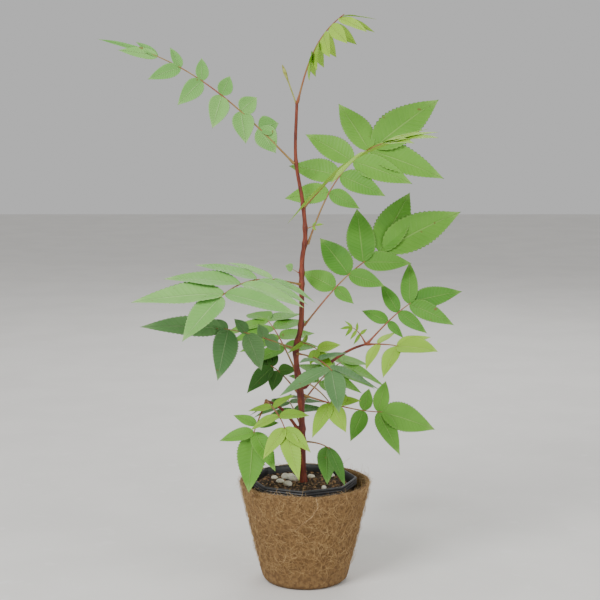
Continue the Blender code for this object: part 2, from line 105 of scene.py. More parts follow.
def linked(name: str, data: bpy.types.ID) -> bpy.types.Object:
    """Puts a new object in the scene.

    Args:
        name: of the object.
        data: its mesh, light or camera.

    Returns:
        The object.
    """
    thing = bpy.data.objects.new(name, data)
    bpy.context.scene.collection.objects.link(thing)
    return thing


class Sock:
    """A node's output that takes part in arithmetic."""

    def __init__(self, painter: "Painter", socket: bpy.types.NodeSocket) -> None:
        """Wraps a socket of the painter's tree."""
        self.painter, self.socket = painter, socket

    def __add__(self, other: "Sock | float") -> "Sock":
        """Sum."""
        return self.painter.maths("ADD", self, other)

    def __sub__(self, other: "Sock | float") -> "Sock":
        """Difference."""
        return self.painter.maths("SUBTRACT", self, other)

    def __rsub__(self, other: float) -> "Sock":
        """Difference from a number."""
        return self.painter.maths("SUBTRACT", other, self)

    def __mul__(self, other: "Sock | float") -> "Sock":
        """Product."""
        return self.painter.maths("MULTIPLY", self, other)

    def __abs__(self) -> "Sock":
        """Size without sign."""
        return self.painter.maths("ABSOLUTE", self)

    __radd__ = __add__
    __rmul__ = __mul__


class Painter:
    """Builds one material around a Principled shader."""

    def __init__(self, name: str) -> None:
        """Starts a material.

        Args:
            name: of the material.
        """
        self.material = bpy.data.materials.new(name)
        self.material.use_nodes = True
        self.tree = self.material.node_tree
        self.shader = self.tree.nodes["Principled BSDF"]

    def feed(self, socket: bpy.types.NodeSocket, value: object) -> None:
        """Links a socket or sets its value.

        Args:
            socket: an input.
            value: a node's output, a number, a vector or a colour.
        """
        if isinstance(value, Sock):
            self.tree.links.new(value.socket, socket)
        elif socket.type == "RGBA":
            socket.default_value = (*value, 1)
        else:
            socket.default_value = value

    def node(
        self,
        kind: str,
        settings: dict[str, object] | None = None,
        values: dict[int | str, object] | None = None,
        output: int = 0,
    ) -> Sock:
        """Adds a node.

        Args:
            kind: the node's type.
            settings: its properties, set before its sockets.
            values: its inputs by name or number.
            output: which output to hand back.

        Returns:
            That output.
        """
        made = self.tree.nodes.new(kind)
        for key, value in (settings or {}).items():
            setattr(made, key, value)
        for key, value in (values or {}).items():
            self.feed(made.inputs[key], value)
        return Sock(self, made.outputs[output])

    def maths(self, operation: str, *values: "Sock | float") -> Sock:
        """A Math node."""
        return self.node("ShaderNodeMath", {"operation": operation}, dict(enumerate(values)))

    def place(self, stretch: Triple = (1, 1, 1)) -> Sock:
        """Position on the object, stretched along its axes."""
        spot = self.node("ShaderNodeTexCoord", output=3)
        return self.node("ShaderNodeVectorMath", {"operation": "MULTIPLY"}, {0: spot, 1: stretch})

    def speckle(self, scale: float, place: Sock, detail: float) -> Sock:
        """Noise from 0 to 1."""
        values = {"Vector": place, "Scale": scale, "Detail": detail}
        return self.node("ShaderNodeTexNoise", None, values)

    def ease(self, value: Sock, low: float, high: float) -> Sock:
        """0 below low, 1 above high and a smooth step between."""
        smooth = {"interpolation_type": "SMOOTHSTEP"}
        return self.node("ShaderNodeMapRange", smooth, {0: value, 1: low, 2: high})

    def mix(self, share: Sock, start: Sock | Triple, end: Sock | Triple) -> Sock:
        """A colour between two."""
        return self.node("ShaderNodeMix", {"data_type": "RGBA"}, {0: share, 6: start, 7: end}, 2)

    def finish(self, colour: Sock, roughness: Sock, height: Sock, relief: float) -> None:
        """Feeds the shader.

        Args:
            colour: its base colour.
            roughness: its roughness.
            height: its bumps, about 0 to 1.
            relief: how high those are, in metres.
        """
        bump = self.node("ShaderNodeBump", None, {"Distance": relief, "Height": height})
        for name, value in (("Base Color", colour), ("Roughness", roughness), ("Normal", bump)):
            self.feed(self.shader.inputs[name], value)


@dataclass(frozen=True)
class Mottled:
    """A finish of a main colour with broad patches and fine flecks."""

    name: str
    main: Triple
    patch: Triple
    fleck: Triple
    roughness: float
    grain: float  # noise cells in a metre
    relief: float
    stretch: Triple = (1, 1, 1)
    flecks: Pair = (0.60, 0.72)  # noise where the flecks begin and where they are full
    patches: Pair = (0.35, 0.65)  # noise where the patches begin and where they are full
    patch_grain: float = 0.22  # the patches' noise cells, by the grain
    details: Pair = (5, 2)  # of the flecks' and of the patches' noise
    spread: float = 0.14  # of the roughness

    def material(self) -> bpy.types.Material:
        """Makes the finish.

        Returns:
            Its material.
        """
        painter = Painter(self.name)
        place = painter.place(self.stretch)
        fine = painter.speckle(self.grain, place, self.details[0])
        broad = painter.speckle(self.grain * self.patch_grain, place, self.details[1])
        colour = painter.mix(painter.ease(broad, *self.patches), self.main, self.patch)
        colour = painter.mix(painter.ease(fine, *self.flecks), colour, self.fleck)
        roughness = fine * self.spread + (self.roughness - self.spread / 2)
        painter.finish(colour, roughness, fine, self.relief)
        return painter.material


@dataclass(frozen=True)
class LeafFinish:
    """A matte leaf with a pale rib, fine side veins, paler tips and a few brown specks."""

    name: str
    main: Triple
    young: Triple
    vein: Triple
    speck: Triple = shown(120, 92, 50)
    veins: float = 15.0
    slant: float = 0.10  # how far the veins lean to the tip, by the blade's length
    rib: Pair = (0.02, 0.07)  # where the rib ends, by the blade's half width
    side_vein: Pair = (0.82, 1.0)  # wave where a side vein begins and where it is full
    side_strength: float = 0.42  # of the side veins, by the rib's
    side_fade: float = 0.6  # of the side veins towards the edge
    vein_strength: float = 0.38
    youth: Triple = (0.75, 0.5, 0.12)  # shares of tint and patches, and what is taken off
    tip: Triple = (0.80, 1.0, 0.55)  # where the pale tip begins and is full, and how pale
    edge: Triple = (0.86, 1.0, 0.30)  # the same for the edges
    palest: float = 0.7
    speckled: Triple = (0.745, 0.785, 0.8)  # noise where a speck begins and is full, and strength
    patches: float = 55.0  # noise cells in a metre
    specks: float = 170.0
    pores: float = 900.0
    pillow: Pair = (0.5, 0.05)  # height between the side veins, and of the pores
    roughness: float = 0.50
    spread: float = 0.15  # of the roughness
    relief: float = 0.00045
    shine: float = 0.32

    def material(self) -> bpy.types.Material:
        """Makes the finish, which reads the leaflets' own map and tint.

        Returns:
            Its material.
        """
        painter = Painter(self.name)
        chart = painter.node("ShaderNodeUVMap", {"uv_map": "blade"})
        along = painter.node("ShaderNodeSeparateXYZ", None, {0: chart}, 0)
        across = abs(painter.node("ShaderNodeSeparateXYZ", None, {0: chart}, 1) * 2 - 1)
        tint = painter.node("ShaderNodeAttribute", {"attribute_name": "tint"}, None, 2)
        place = painter.place()
        patchy = painter.speckle(self.patches, place, 3)
        wave = painter.maths("PINGPONG", (along - across * self.slant) * self.veins, 0.5) * 2
        side_vein = painter.ease(wave, *self.side_vein) * (1 - across * self.side_fade)
        rib = 1 - painter.ease(across, *self.rib)
        lines = painter.maths("MAXIMUM", rib, side_vein * self.side_strength)
        lightness = tint * self.youth[0] + patchy * self.youth[1] - self.youth[2]
        colour = painter.mix(painter.ease(lightness, 0.0, 1.0), self.main, self.young)
        pale = painter.ease(along, *self.tip[:2]) * self.tip[2]
        pale = pale + painter.ease(across, *self.edge[:2]) * self.edge[2]
        colour = painter.mix(painter.maths("MINIMUM", pale, self.palest), colour, self.vein)
        colour = painter.mix(lines * self.vein_strength, colour, self.vein)
        specks = painter.ease(painter.speckle(self.specks, place, 1), *self.speckled[:2])
        colour = painter.mix(specks * self.speckled[2], colour, self.speck)
        pores = painter.speckle(self.pores, place, 2) * self.pillow[1]
        height = 0 - (wave * self.pillow[0] - lines + pores)
        painter.finish(colour, patchy * self.spread + self.roughness, height, self.relief)
        painter.shader.inputs["Specular IOR Level"].default_value = self.shine
        return painter.material


COIR = Mottled(
    "coir", shown(112, 82, 48), shown(142, 110, 68), shown(182, 150, 102), 0.95, 1300, 0.0014,
    stretch=(1, 1, 0.8),
)
FIBRE = Mottled(
    "fibre", shown(172, 136, 86), shown(202, 168, 114), shown(228, 200, 150), 0.85, 400, 0.0001
)
PALE_FIBRE = Mottled(
    "pale_fibre", shown(178, 146, 104), shown(200, 168, 124), shown(222, 194, 152), 0.8, 300, 0.0001
)
BLACK_PLASTIC = Mottled(
    "black_plastic", shown(26, 26, 28), shown(38, 38, 40), shown(58, 56, 54), 0.42, 500, 0.00004,
    flecks=(0.62, 0.80),
)
MIX = Mottled(
    "potting_mix", shown(38, 30, 24), shown(58, 45, 34), shown(92, 72, 52), 0.95, 1500, 0.0012
)
GRANULE = Mottled(
    "granule", shown(48, 38, 30), shown(78, 60, 44), shown(120, 96, 70), 0.92, 800, 0.0003
)
CHIP = Mottled(
    "bark_chip", shown(122, 88, 56), shown(152, 118, 80), shown(176, 146, 106), 0.9, 900, 0.0003
)
STONE = Mottled(
    "stone", shown(224, 214, 194), shown(236, 230, 216), shown(190, 172, 144), 0.8, 700, 0.0003
)
BARK = Mottled(
    "bark", shown(88, 26, 18), shown(132, 58, 32), shown(172, 122, 84), 0.55, 1400, 0.0002,
    stretch=(1, 1, 0.22), flecks=(0.66, 0.74),
)
STALK = Mottled(
    "stalk", shown(142, 72, 48), shown(148, 122, 66), shown(158, 60, 44), 0.5, 120, 0.0001
)
BUD = Mottled(
    "bud", shown(168, 172, 92), shown(140, 140, 62), shown(196, 190, 128), 0.7, 1600, 0.0002
)
FLOOR = Mottled(
    "floor", shown(228, 226, 222), shown(224, 222, 218), shown(230, 228, 225), 0.9, 40, 0.0001
)
LEAF_FINISHES = {
    Tone.LIME: LeafFinish("lime", shown(122, 174, 42), shown(158, 200, 62), shown(192, 218, 108)),
    Tone.PALE: LeafFinish("pale", shown(108, 170, 78), shown(146, 200, 108), shown(184, 218, 146)),
    Tone.MID: LeafFinish("mid", shown(72, 134, 36), shown(110, 168, 56), shown(158, 198, 104)),
    Tone.DARK: LeafFinish("dark", shown(46, 94, 26), shown(76, 126, 42), shown(126, 166, 84)),
    Tone.GREY: LeafFinish("grey", shown(76, 122, 66), shown(110, 152, 92), shown(156, 188, 130)),
}


@dataclass(frozen=True)
class Limb:
    """A bough: height of its foot on the stem, reach, arch, and radius at foot and tip."""

    name: str
    foot: float
    reach: Triple
    bow: float
    radii: Pair


@dataclass(frozen=True)
class Side:
    """The leaflets on one side of a stalk: how many, and angle and length of first and last."""

    count: int
    first: Pair
    last: Pair


@dataclass(frozen=True)
class Leaf:
    """A compound leaf: a stalk with leaflets on both sides and one at its end."""

    name: str
    carrier: str  # the stem, or what it grows from the tip of
    foot: float  # height on the stem
    reach: Triple  # right, back and up
    bow: float  # how far the stalk is arched up
    bare: float  # share of the stalk below the first leaflets
    left: Side
    right: Side
    end: Triple  # length, width by length, and droop of the leaflet at the end
    broad: Pair  # width of the first and of the last leaflets, by their length
    tilt: float  # how far the face is tipped from straight up to the front
    droop: Pair  # how far the first and the last leaflets sink
    tone: Tone


@dataclass(frozen=True)
class Blade:
    """Where one leaflet lies."""

    root: Vector
    along: Vector
    across: Vector
    length: float
    width: float


BOUGHS = (
    Limb("right_bough", 0.190, (0.061, 0.018, 0.040), 0.006, (0.0018, 0.0012)),
    Limb("lower_left_bough", 0.150, (-0.030, -0.010, 0.030), 0.004, (0.0017, 0.0012)),
)

LEAVES = (
    Leaf("top_leaf", "stem_tip", 0, (0.043, -0.010, 0.080), 0.009, 0.50,
         Side(5, (95, 0.026), (32, 0.040)), Side(5, (80, 0.032), (34, 0.042)),
         (0.032, 0.26, 0.60), (0.62, 0.26), 0, (1.20, 0.72), Tone.LIME),
    Leaf("upper_left_leaf", "stem", 0.408, (-0.135, -0.020, 0.103), 0.010, 0.27,
         Side(6, (168, 0.028), (12, 0.037)), Side(6, (118, 0.022), (16, 0.025)),
         (0.052, 0.10, 0.02), (0.88, 0.30), 60, (0.00, 0.00), Tone.PALE),
    Leaf("front_right_leaf", "stem", 0.367, (0.074, -0.090, 0.065), 0.008, 0.58,
         Side(3, (50, 0.062), (10, 0.062)), Side(3, (140, 0.078), (14, 0.060)),
         (0.066, 0.24, 0.05), (0.28, 0.22), 24, (0.15, 0.05), Tone.LIME),
    Leaf("upper_right_leaf", "stem", 0.331, (0.066, 0.035, 0.090), 0.014, 0.44,
         Side(4, (122, 0.044), (84, 0.064)), Side(4, (88, 0.032), (48, 0.076)),
         (0.092, 0.40, -0.35), (0.48, 0.44), 60, (0.00, 0.00), Tone.MID),
    Leaf("middle_right_leaf", "stem", 0.252, (0.079, 0.030, 0.070), 0.007, 0.42,
         Side(4, (98, 0.037), (35, 0.080)), Side(3, (84, 0.023), (34, 0.048)),
         (0.094, 0.40, -0.10), (0.56, 0.40), 60, (0.00, 0.00), Tone.MID),
    Leaf("right_leaf", "right_bough", 0, (0.043, 0.002, 0.040), 0.002, 0.48,
         Side(3, (107, 0.030), (55, 0.045)), Side(3, (87, 0.022), (60, 0.049)),
         (0.052, 0.40, 0.30), (0.42, 0.38), 60, (0.00, 0.00), Tone.MID),
    Leaf("right_front_leaf", "right_bough", 0, (0.028, -0.028, 0.003), 0.001, 0.34,
         Side(2, (85, 0.028), (62, 0.036)), Side(2, (84, 0.030), (72, 0.038)),
         (0.050, 0.48, -0.15), (0.48, 0.48), 40, (0.15, 0.15), Tone.LIME),
    Leaf("right_young_leaf", "right_bough", 0, (-0.014, -0.004, 0.016), 0.002, 0.45,
         Side(3, (80, 0.012), (50, 0.012)), Side(3, (80, 0.012), (50, 0.012)),
         (0.012, 0.30, 0.40), (0.30, 0.30), 45, (0.40, 0.40), Tone.LIME),
    Leaf("big_left_leaf", "stem", 0.292, (-0.072, -0.090, 0.000), 0.011, 0.35,
         Side(4, (122, 0.045), (114, 0.066)), Side(4, (56, 0.050), (52, 0.084)),
         (0.060, 0.44, 0.08), (0.44, 0.36), 32, (0.00, 0.04), Tone.PALE),
    Leaf("left_leaf", "stem", 0.230, (-0.065, -0.030, 0.024), 0.002, 0.42,
         Side(3, (165, 0.019), (78, 0.051)), Side(3, (56, 0.017), (20, 0.022)),
         (0.086, 0.24, 0.02), (0.80, 0.52), 60, (0.00, 0.00), Tone.GREY),
    Leaf("left_dark_leaf", "stem", 0.186, (-0.026, 0.020, 0.022), 0.002, 0.75,
         Side(2, (122, 0.022), (80, 0.035)), Side(2, (130, 0.018), (56, 0.021)),
         (0.030, 0.55, 0.00), (0.70, 0.55), 60, (0.00, 0.00), Tone.DARK),
    Leaf("centre_leaf", "stem", 0.225, (0.032, -0.060, -0.005), 0.004, 0.62,
         Side(2, (85, 0.030), (92, 0.062)), Side(2, (70, 0.028), (104, 0.052)),
         (0.038, 0.58, 1.80), (0.44, 0.38), 5, (-0.20, 0.45), Tone.GREY),
    Leaf("centre_young_leaf", "stem", 0.236, (0.018, -0.024, -0.004), 0.002, 0.30,
         Side(2, (130, 0.015), (66, 0.024)), Side(2, (136, 0.020), (60, 0.018)),
         (0.036, 0.26, 0.20), (0.40, 0.60), 55, (0.00, 0.00), Tone.LIME),
    Leaf("lower_right_leaf", "stem", 0.183, (0.077, 0.010, -0.019), -0.003, 0.76,
         Side(2, (80, 0.026), (78, 0.036)), Side(2, (112, 0.032), (62, 0.046)),
         (0.056, 0.52, 0.22), (0.52, 0.44), 60, (0.00, 0.00), Tone.MID),
    Leaf("lower_right_young_leaf", "stem", 0.200, (0.030, -0.045, -0.018), 0.004, 0.92,
         Side(1, (66, 0.030), (66, 0.030)), Side(1, (54, 0.038), (54, 0.038)),
         (0.030, 0.55, 0.00), (0.40, 0.40), 60, (0.00, 0.00), Tone.LIME),
    Leaf("lower_front_right_leaf", "stem", 0.138, (0.024, -0.045, 0.004), 0.002, 0.88,
         Side(1, (120, 0.022), (120, 0.022)), Side(1, (28, 0.038), (28, 0.038)),
         (0.040, 0.34, 0.75), (0.50, 0.50), 0, (1.00, 1.00), Tone.DARK),
    Leaf("lower_left_leaf", "lower_left_bough", 0, (-0.011, -0.030, -0.024), 0.001, 0.74,
         Side(2, (120, 0.022), (42, 0.042)), Side(2, (104, 0.026), (62, 0.034)),
         (0.052, 0.54, 2.00), (0.46, 0.42), 60, (0.00, 0.00), Tone.MID),
    Leaf("lower_front_left_leaf", "lower_left_bough", 0, (0.018, -0.042, -0.018), 0.004, 0.28,
         Side(3, (78, 0.026), (30, 0.036)), Side(3, (118, 0.025), (52, 0.036)),
         (0.050, 0.36, 0.10), (0.46, 0.40), 60, (-0.20, 0.00), Tone.LIME),
    Leaf("tiny_young_leaf", "stem", 0.346, (0.008, -0.003, 0.003), 0.000, 0.60,
         Side(1, (60, 0.008), (60, 0.008)), Side(1, (60, 0.007), (60, 0.007)),
         (0.008, 0.40, 0.10), (0.40, 0.40), 40, (0.10, 0.10), Tone.LIME),
    Leaf("small_round_leaf", "stem", 0.303, (-0.006, -0.003, 0.004), 0.000, 0.60,
         Side(0, (0, 0), (0, 0)), Side(0, (0, 0), (0, 0)),
         (0.009, 0.95, 0.00), (0.90, 0.90), 60, (0.00, 0.00), Tone.PALE),
    Leaf("back_left_leaf", "stem", 0.205, (-0.030, 0.075, 0.040), 0.004, 0.40,
         Side(4, (80, 0.036), (60, 0.052)), Side(4, (80, 0.036), (60, 0.052)),
         (0.060, 0.40, 0.20), (0.48, 0.42), 35, (0.20, 0.20), Tone.MID),
    Leaf("back_right_leaf", "stem", 0.176, (0.040, 0.070, 0.026), 0.004, 0.40,
         Side(4, (80, 0.035), (60, 0.050)), Side(4, (80, 0.035), (60, 0.050)),
         (0.060, 0.40, 0.20), (0.48, 0.42), 40, (0.20, 0.20), Tone.MID),
    Leaf("low_back_leaf", "stem", 0.150, (-0.016, 0.065, 0.016), 0.004, 0.45,
         Side(3, (80, 0.036), (60, 0.045)), Side(3, (80, 0.036), (60, 0.045)),
         (0.050, 0.42, 0.20), (0.48, 0.42), 40, (0.20, 0.25), Tone.DARK),
)

# Main stem: height of each bend, how far it stands right and back, and its radius there
STEM_BENDS = (
    (0.0965, -0.002, 0.000, 0.0046),
    (0.106, -0.002, 0.000, 0.0032),
    (0.178, -0.004, 0.001, 0.0028),
    (0.226, -0.009, -0.001, 0.0026),
    (0.252, -0.004, 0.000, 0.0025),
    (0.315, -0.003, 0.001, 0.0023),
    (0.336, 0.000, 0.000, 0.0021),
    (0.367, -0.002, 0.000, 0.0019),
    (0.412, -0.009, 0.001, 0.0016),
    (0.464, -0.008, 0.000, 0.0014),
)

# Stones on the potting mix: right, back and radius
STONES = (
    (-0.019, 0.016, 0.0050),
    (-0.011, 0.007, 0.0052),
    (-0.014, 0.020, 0.0040),
    (-0.024, -0.001, 0.0040),
    (-0.017, -0.010, 0.0045),
    (0.006, 0.018, 0.0035),
    (0.025, 0.020, 0.0040),
    (0.018, -0.022, 0.0030),
    (-0.030, 0.014, 0.0032),
)


@dataclass
class Skeleton:
    """The rule that the stem, the boughs, the stalks and the leaflets grow by."""

    clearance: float = 0.00039
    stalk_radius: float = 0.0011
    tip_slide: float = 0.0022
    arching: float = 2.6  # share - share**3 peaks at 1 / arching
    glance: float = 0.02
    last_pair: float = 0.94
    end_root: float = 0.98
    flex_angle: float = 3.0
    flex_length: float = 0.04

    def stem_at(self, height: float) -> tuple[Vector, float]:
        """Finds a place on the main stem, on a smooth curve through its bends.

        Args:
            height: above the ground.

        Returns:
            The stem's centre and radius there.
        """
        rows = STEM_BENDS
        last = len(rows) - 2
        i = next((n for n in range(last) if height < rows[n + 1][0]), last)
        low, high = rows[i], rows[i + 1]
        before, after = rows[max(0, i - 1)], rows[min(len(rows) - 1, i + 2)]
        step = high[0] - low[0]
        share = min(1.0, max(0.0, (height - low[0]) / step))
        square, cube = share**2, share**3

        def eased(column: int) -> float:
            """Cubic through the two bends, with the slopes of their neighbours.

            Args:
                column: of the bends' table.

            Returns:
                Its value at the height.
            """
            slope_low = (high[column] - before[column]) / (high[0] - before[0]) * step
            slope_high = (after[column] - low[column]) / (after[0] - low[0]) * step
            return (
                low[column] * (2 * cube - 3 * square + 1)
                + slope_low * (cube - 2 * square + share)
                + high[column] * (3 * square - 2 * cube)
                + slope_high * (cube - square)
            )

        return Vector((eased(1), eased(2), height)), blend(low[3], high[3], share)

    def arch(self, foot: Vector, reach: Vector, bow: float, share: float) -> Vector:
        """Follows a limb that bows upwards.

        Args:
            foot: where it starts.
            reach: from there to its tip.
            bow: how far it is arched.
            share: how far along it.

        Returns:
            The point there.
        """
        along = reach.normalized()
        up = (UP - along * along.z).normalized()
        return foot + reach * share + up * (bow * self.arching * (share - share**3))

    def heading(self, foot: Vector, reach: Vector, bow: float, share: float) -> Vector:
        """Direction of such a limb at a share of its way."""
        ahead = self.arch(foot, reach, bow, min(1.0, share + self.glance))
        return (ahead - self.arch(foot, reach, bow, max(0.0, share - self.glance))).normalized()

    def foot_on_stem(self, height: float, reach: Vector, bow: float, radius: float) -> Vector:
        """Finds where a limb's foot stands beside the stem.

        Args:
            height: of the foot.
            reach: of the limb.
            bow: of the limb.
            radius: of its foot.

        Returns:
            The foot's centre.
        """
        centre, stem_radius = self.stem_at(height)
        along = self.heading(centre, reach, bow, 0)
        outward = Vector((along.x, along.y, 0)).normalized()
        return centre + outward * (stem_radius + self.clearance + radius * abs(along.z))

    def bough_foot(self, limb: Limb) -> Vector:
        """Where a bough starts."""
        return self.foot_on_stem(limb.foot, Vector(limb.reach), limb.bow, limb.radii[0])

    def carrier_tip(self, name: str) -> Vector:
        """Finds the tip that leaves grow from.

        Args:
            name: of a bough, or stem_tip.

        Returns:
            The tip.
        """
        if name == "stem_tip":
            return self.stem_at(STEM_BENDS[-1][0])[0]
        limb = next(limb for limb in BOUGHS if limb.name == name)
        return self.bough_foot(limb) + Vector(limb.reach)

    def leaf_foot(self, leaf: Leaf) -> Vector:
        """Finds where a leaf's stalk starts.

        Args:
            leaf: its row.

        Returns:
            The stalk's foot.
        """
        reach = Vector(leaf.reach)
        if leaf.carrier == "stem":
            return self.foot_on_stem(leaf.foot, reach, leaf.bow, self.stalk_radius)
        return self.carrier_tip(leaf.carrier) + reach.normalized() * self.tip_slide

    def stalk_points(self, leaf: Leaf, pieces: int) -> list[Vector]:
        """Points along a leaf's stalk."""
        foot, reach = self.leaf_foot(leaf), Vector(leaf.reach)
        return [self.arch(foot, reach, leaf.bow, share) for share in steps(pieces)]

    def blade(self, leaf: Leaf, shares: Pair, angle: float, size: Triple) -> Blade:
        """Places a leaflet.

        Args:
            leaf: what it belongs to.
            shares: how far along the stalk it starts, and where the stalk's heading is taken.
            angle: to the left of the stalk, in degrees.
            size: its length, its width by that, and how far it droops.

        Returns:
            The leaflet's place.
        """
        foot, reach = self.leaf_foot(leaf), Vector(leaf.reach)
        root = self.arch(foot, reach, leaf.bow, shares[0])
        along = self.heading(foot, reach, leaf.bow, shares[1])
        tip, turn = math.radians(leaf.tilt), math.radians(angle)
        left = Vector((0, -math.sin(tip), math.cos(tip))).cross(along).normalized()
        ahead = along * math.cos(turn) + left * math.sin(turn) - UP * size[2]
        ahead.normalize()
        across = along.cross(left).cross(ahead).normalized()
        return Blade(root, ahead, across, size[0], size[0] * size[1])

    def blades(self, leaf: Leaf) -> list[Blade]:
        """Places the leaflets of a leaf.

        Args:
            leaf: its row.

        Returns:
            The left side, the right side and then the one at its end.
        """
        chance = random.Random(leaf.name)
        pairs = max(leaf.left.count, leaf.right.count)
        made = []
        for side, sign in ((leaf.left, 1), (leaf.right, -1)):
            for number in range(side.count):
                on_stalk = number / max(1, pairs - 1)
                on_side = number / max(1, side.count - 1)
                place = blend(leaf.bare, self.last_pair, on_stalk)
                angle = blend(side.first[0], side.last[0], on_side)
                angle += chance.uniform(-self.flex_angle, self.flex_angle)
                size = blend(side.first[1], side.last[1], on_side)
                size *= 1 + chance.uniform(-self.flex_length, self.flex_length)
                sizes = (size, blend(*leaf.broad, on_stalk), blend(*leaf.droop, on_stalk))
                made.append(self.blade(leaf, (place, place), sign * angle, sizes))
        made.append(self.blade(leaf, (self.end_root, 1), 0, leaf.end))
        return made


class Form:
    """A mesh in the making."""

    def __init__(self) -> None:
        """Starts with nothing."""
        self.shape = bmesh.new()

    def tube(self, points: Sequence[Vector], radii: Sequence[float], sides: int) -> None:
        """Adds a closed tube.

        Args:
            points: the line it follows.
            radii: its radius at each point.
            sides: corners of its section.
        """
        rings = []
        square = Vector((0, 1, 0)).cross(points[1] - points[0]).normalized()
        for i, (point, radius) in enumerate(zip(points, radii)):
            along = (points[min(i + 1, len(points) - 1)] - points[max(i - 1, 0)]).normalized()
            square = (square - along * square.dot(along)).normalized()
            other = along.cross(square)
            spokes = [square * math.cos(turn) + other * math.sin(turn) for turn in turns(sides)]
            spots = [point + spoke * radius for spoke in spokes]
            rings.append([self.shape.verts.new(spot) for spot in spots])
        self.skin(rings, sides, backwards=True)
        self.shape.faces.new(list(reversed(rings[0])))
        self.shape.faces.new(rings[-1])

    def skin(self, rings: Sequence[Sequence], segments: int, backwards: bool = False) -> None:
        """Joins rings of points by faces.

        Args:
            rings: each of as many points as there are segments, or of one.
            segments: steps round.
            backwards: turns the faces over.
        """
        for near, far in zip(rings, rings[1:]):
            for i in range(segments):
                j = (i + 1) % segments
                corners = [near[i % len(near)], far[i % len(far)], far[j % len(far)]]
                corners.append(near[j % len(near)])
                if backwards:
                    corners = [corners[0], *reversed(corners[1:])]
                self.shape.faces.new(list(dict.fromkeys(corners)))

    def mesh(self, name: str, closed: bool = True) -> bpy.types.Mesh:
        """Ends the work.

        Args:
            name: of the mesh.
            closed: whether its faces are turned outward.

        Returns:
            The mesh.
        """
        if closed:
            bmesh.ops.recalc_face_normals(self.shape, faces=self.shape.faces)
        mesh = bpy.data.meshes.new(name)
        self.shape.to_mesh(mesh)
        self.shape.free()
        return mesh


def revolved(
    name: str,
    profile: Sequence[Pair],
    segments: int,
    move: Callable[[Vector], Vector],
    closed: bool = True,
) -> bpy.types.Mesh:
    """Makes a surface of revolution, whole where it meets the axis.

    Args:
        name: of the mesh.
        profile: radius and height of each ring.
        segments: steps round.
        move: shifts each point to its final place.
        closed: whether its faces are turned outward.

    Returns:
        The mesh.
    """
    form = Form()
    rings = []
    for radius, height in profile:
        spokes = turns(segments) if radius > 0 else [0.0]
        spots = [Vector((radius * math.cos(t), radius * math.sin(t), height)) for t in spokes]
        rings.append([form.shape.verts.new(move(spot)) for spot in spots])
    form.skin(rings, segments)
    return form.mesh(name, closed)


def placed(name: str, mesh: bpy.types.Mesh, material: bpy.types.Material) -> bpy.types.Object:
    """Puts a mesh in the scene.

    Args:
        name: of the new object.
        mesh: its shape.
        material: its only one.

    Returns:
        The object, shaded smooth.
    """
    mesh.materials.clear()
    mesh.materials.append(material)
    mesh.shade_smooth()
    return linked(name, mesh)


def piece(
    mesh: bpy.types.Mesh, material: bpy.types.Material, slot: str, *nodes: str
) -> bpy.types.Object:
    """Makes a piece of the plant or its pot.

    Args:
        mesh: its shape, of the piece's name.
        material: what it is dressed in.
        slot: the record's material slot, which is not used.
        nodes: the solids that it stands for.

    Returns:
        The piece, which rides on the frame.
    """
    thing = placed(mesh.name, mesh, material)
    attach(thing, BODY)
    if nodes:
        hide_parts(*nodes)
    return thing


def finer(profile: Sequence[Pair], step: float) -> list[Pair]:
    """Divides a profile.

    Args:
        profile: radius and height of each point.
        step: the furthest that two points may be apart.

    Returns:
        The same profile with more points.
    """
    points = []
    for (r0, z0), (r1, z1) in zip(profile, profile[1:]):
        parts = max(1, math.ceil(math.hypot(r1 - r0, z1 - z0) / step))
        points += [(blend(r0, r1, i / parts), blend(z0, z1, i / parts)) for i in range(parts)]
    return [*points, profile[-1]]


@dataclass(frozen=True)
class Spread:
    """How small shapes are strewn, named as the inputs of the tree that strews them."""

    density: float  # pieces on a square metre
    smallest: float  # scale
    largest: float
    tilt: float  # out of the surface, in radians
    seed: int


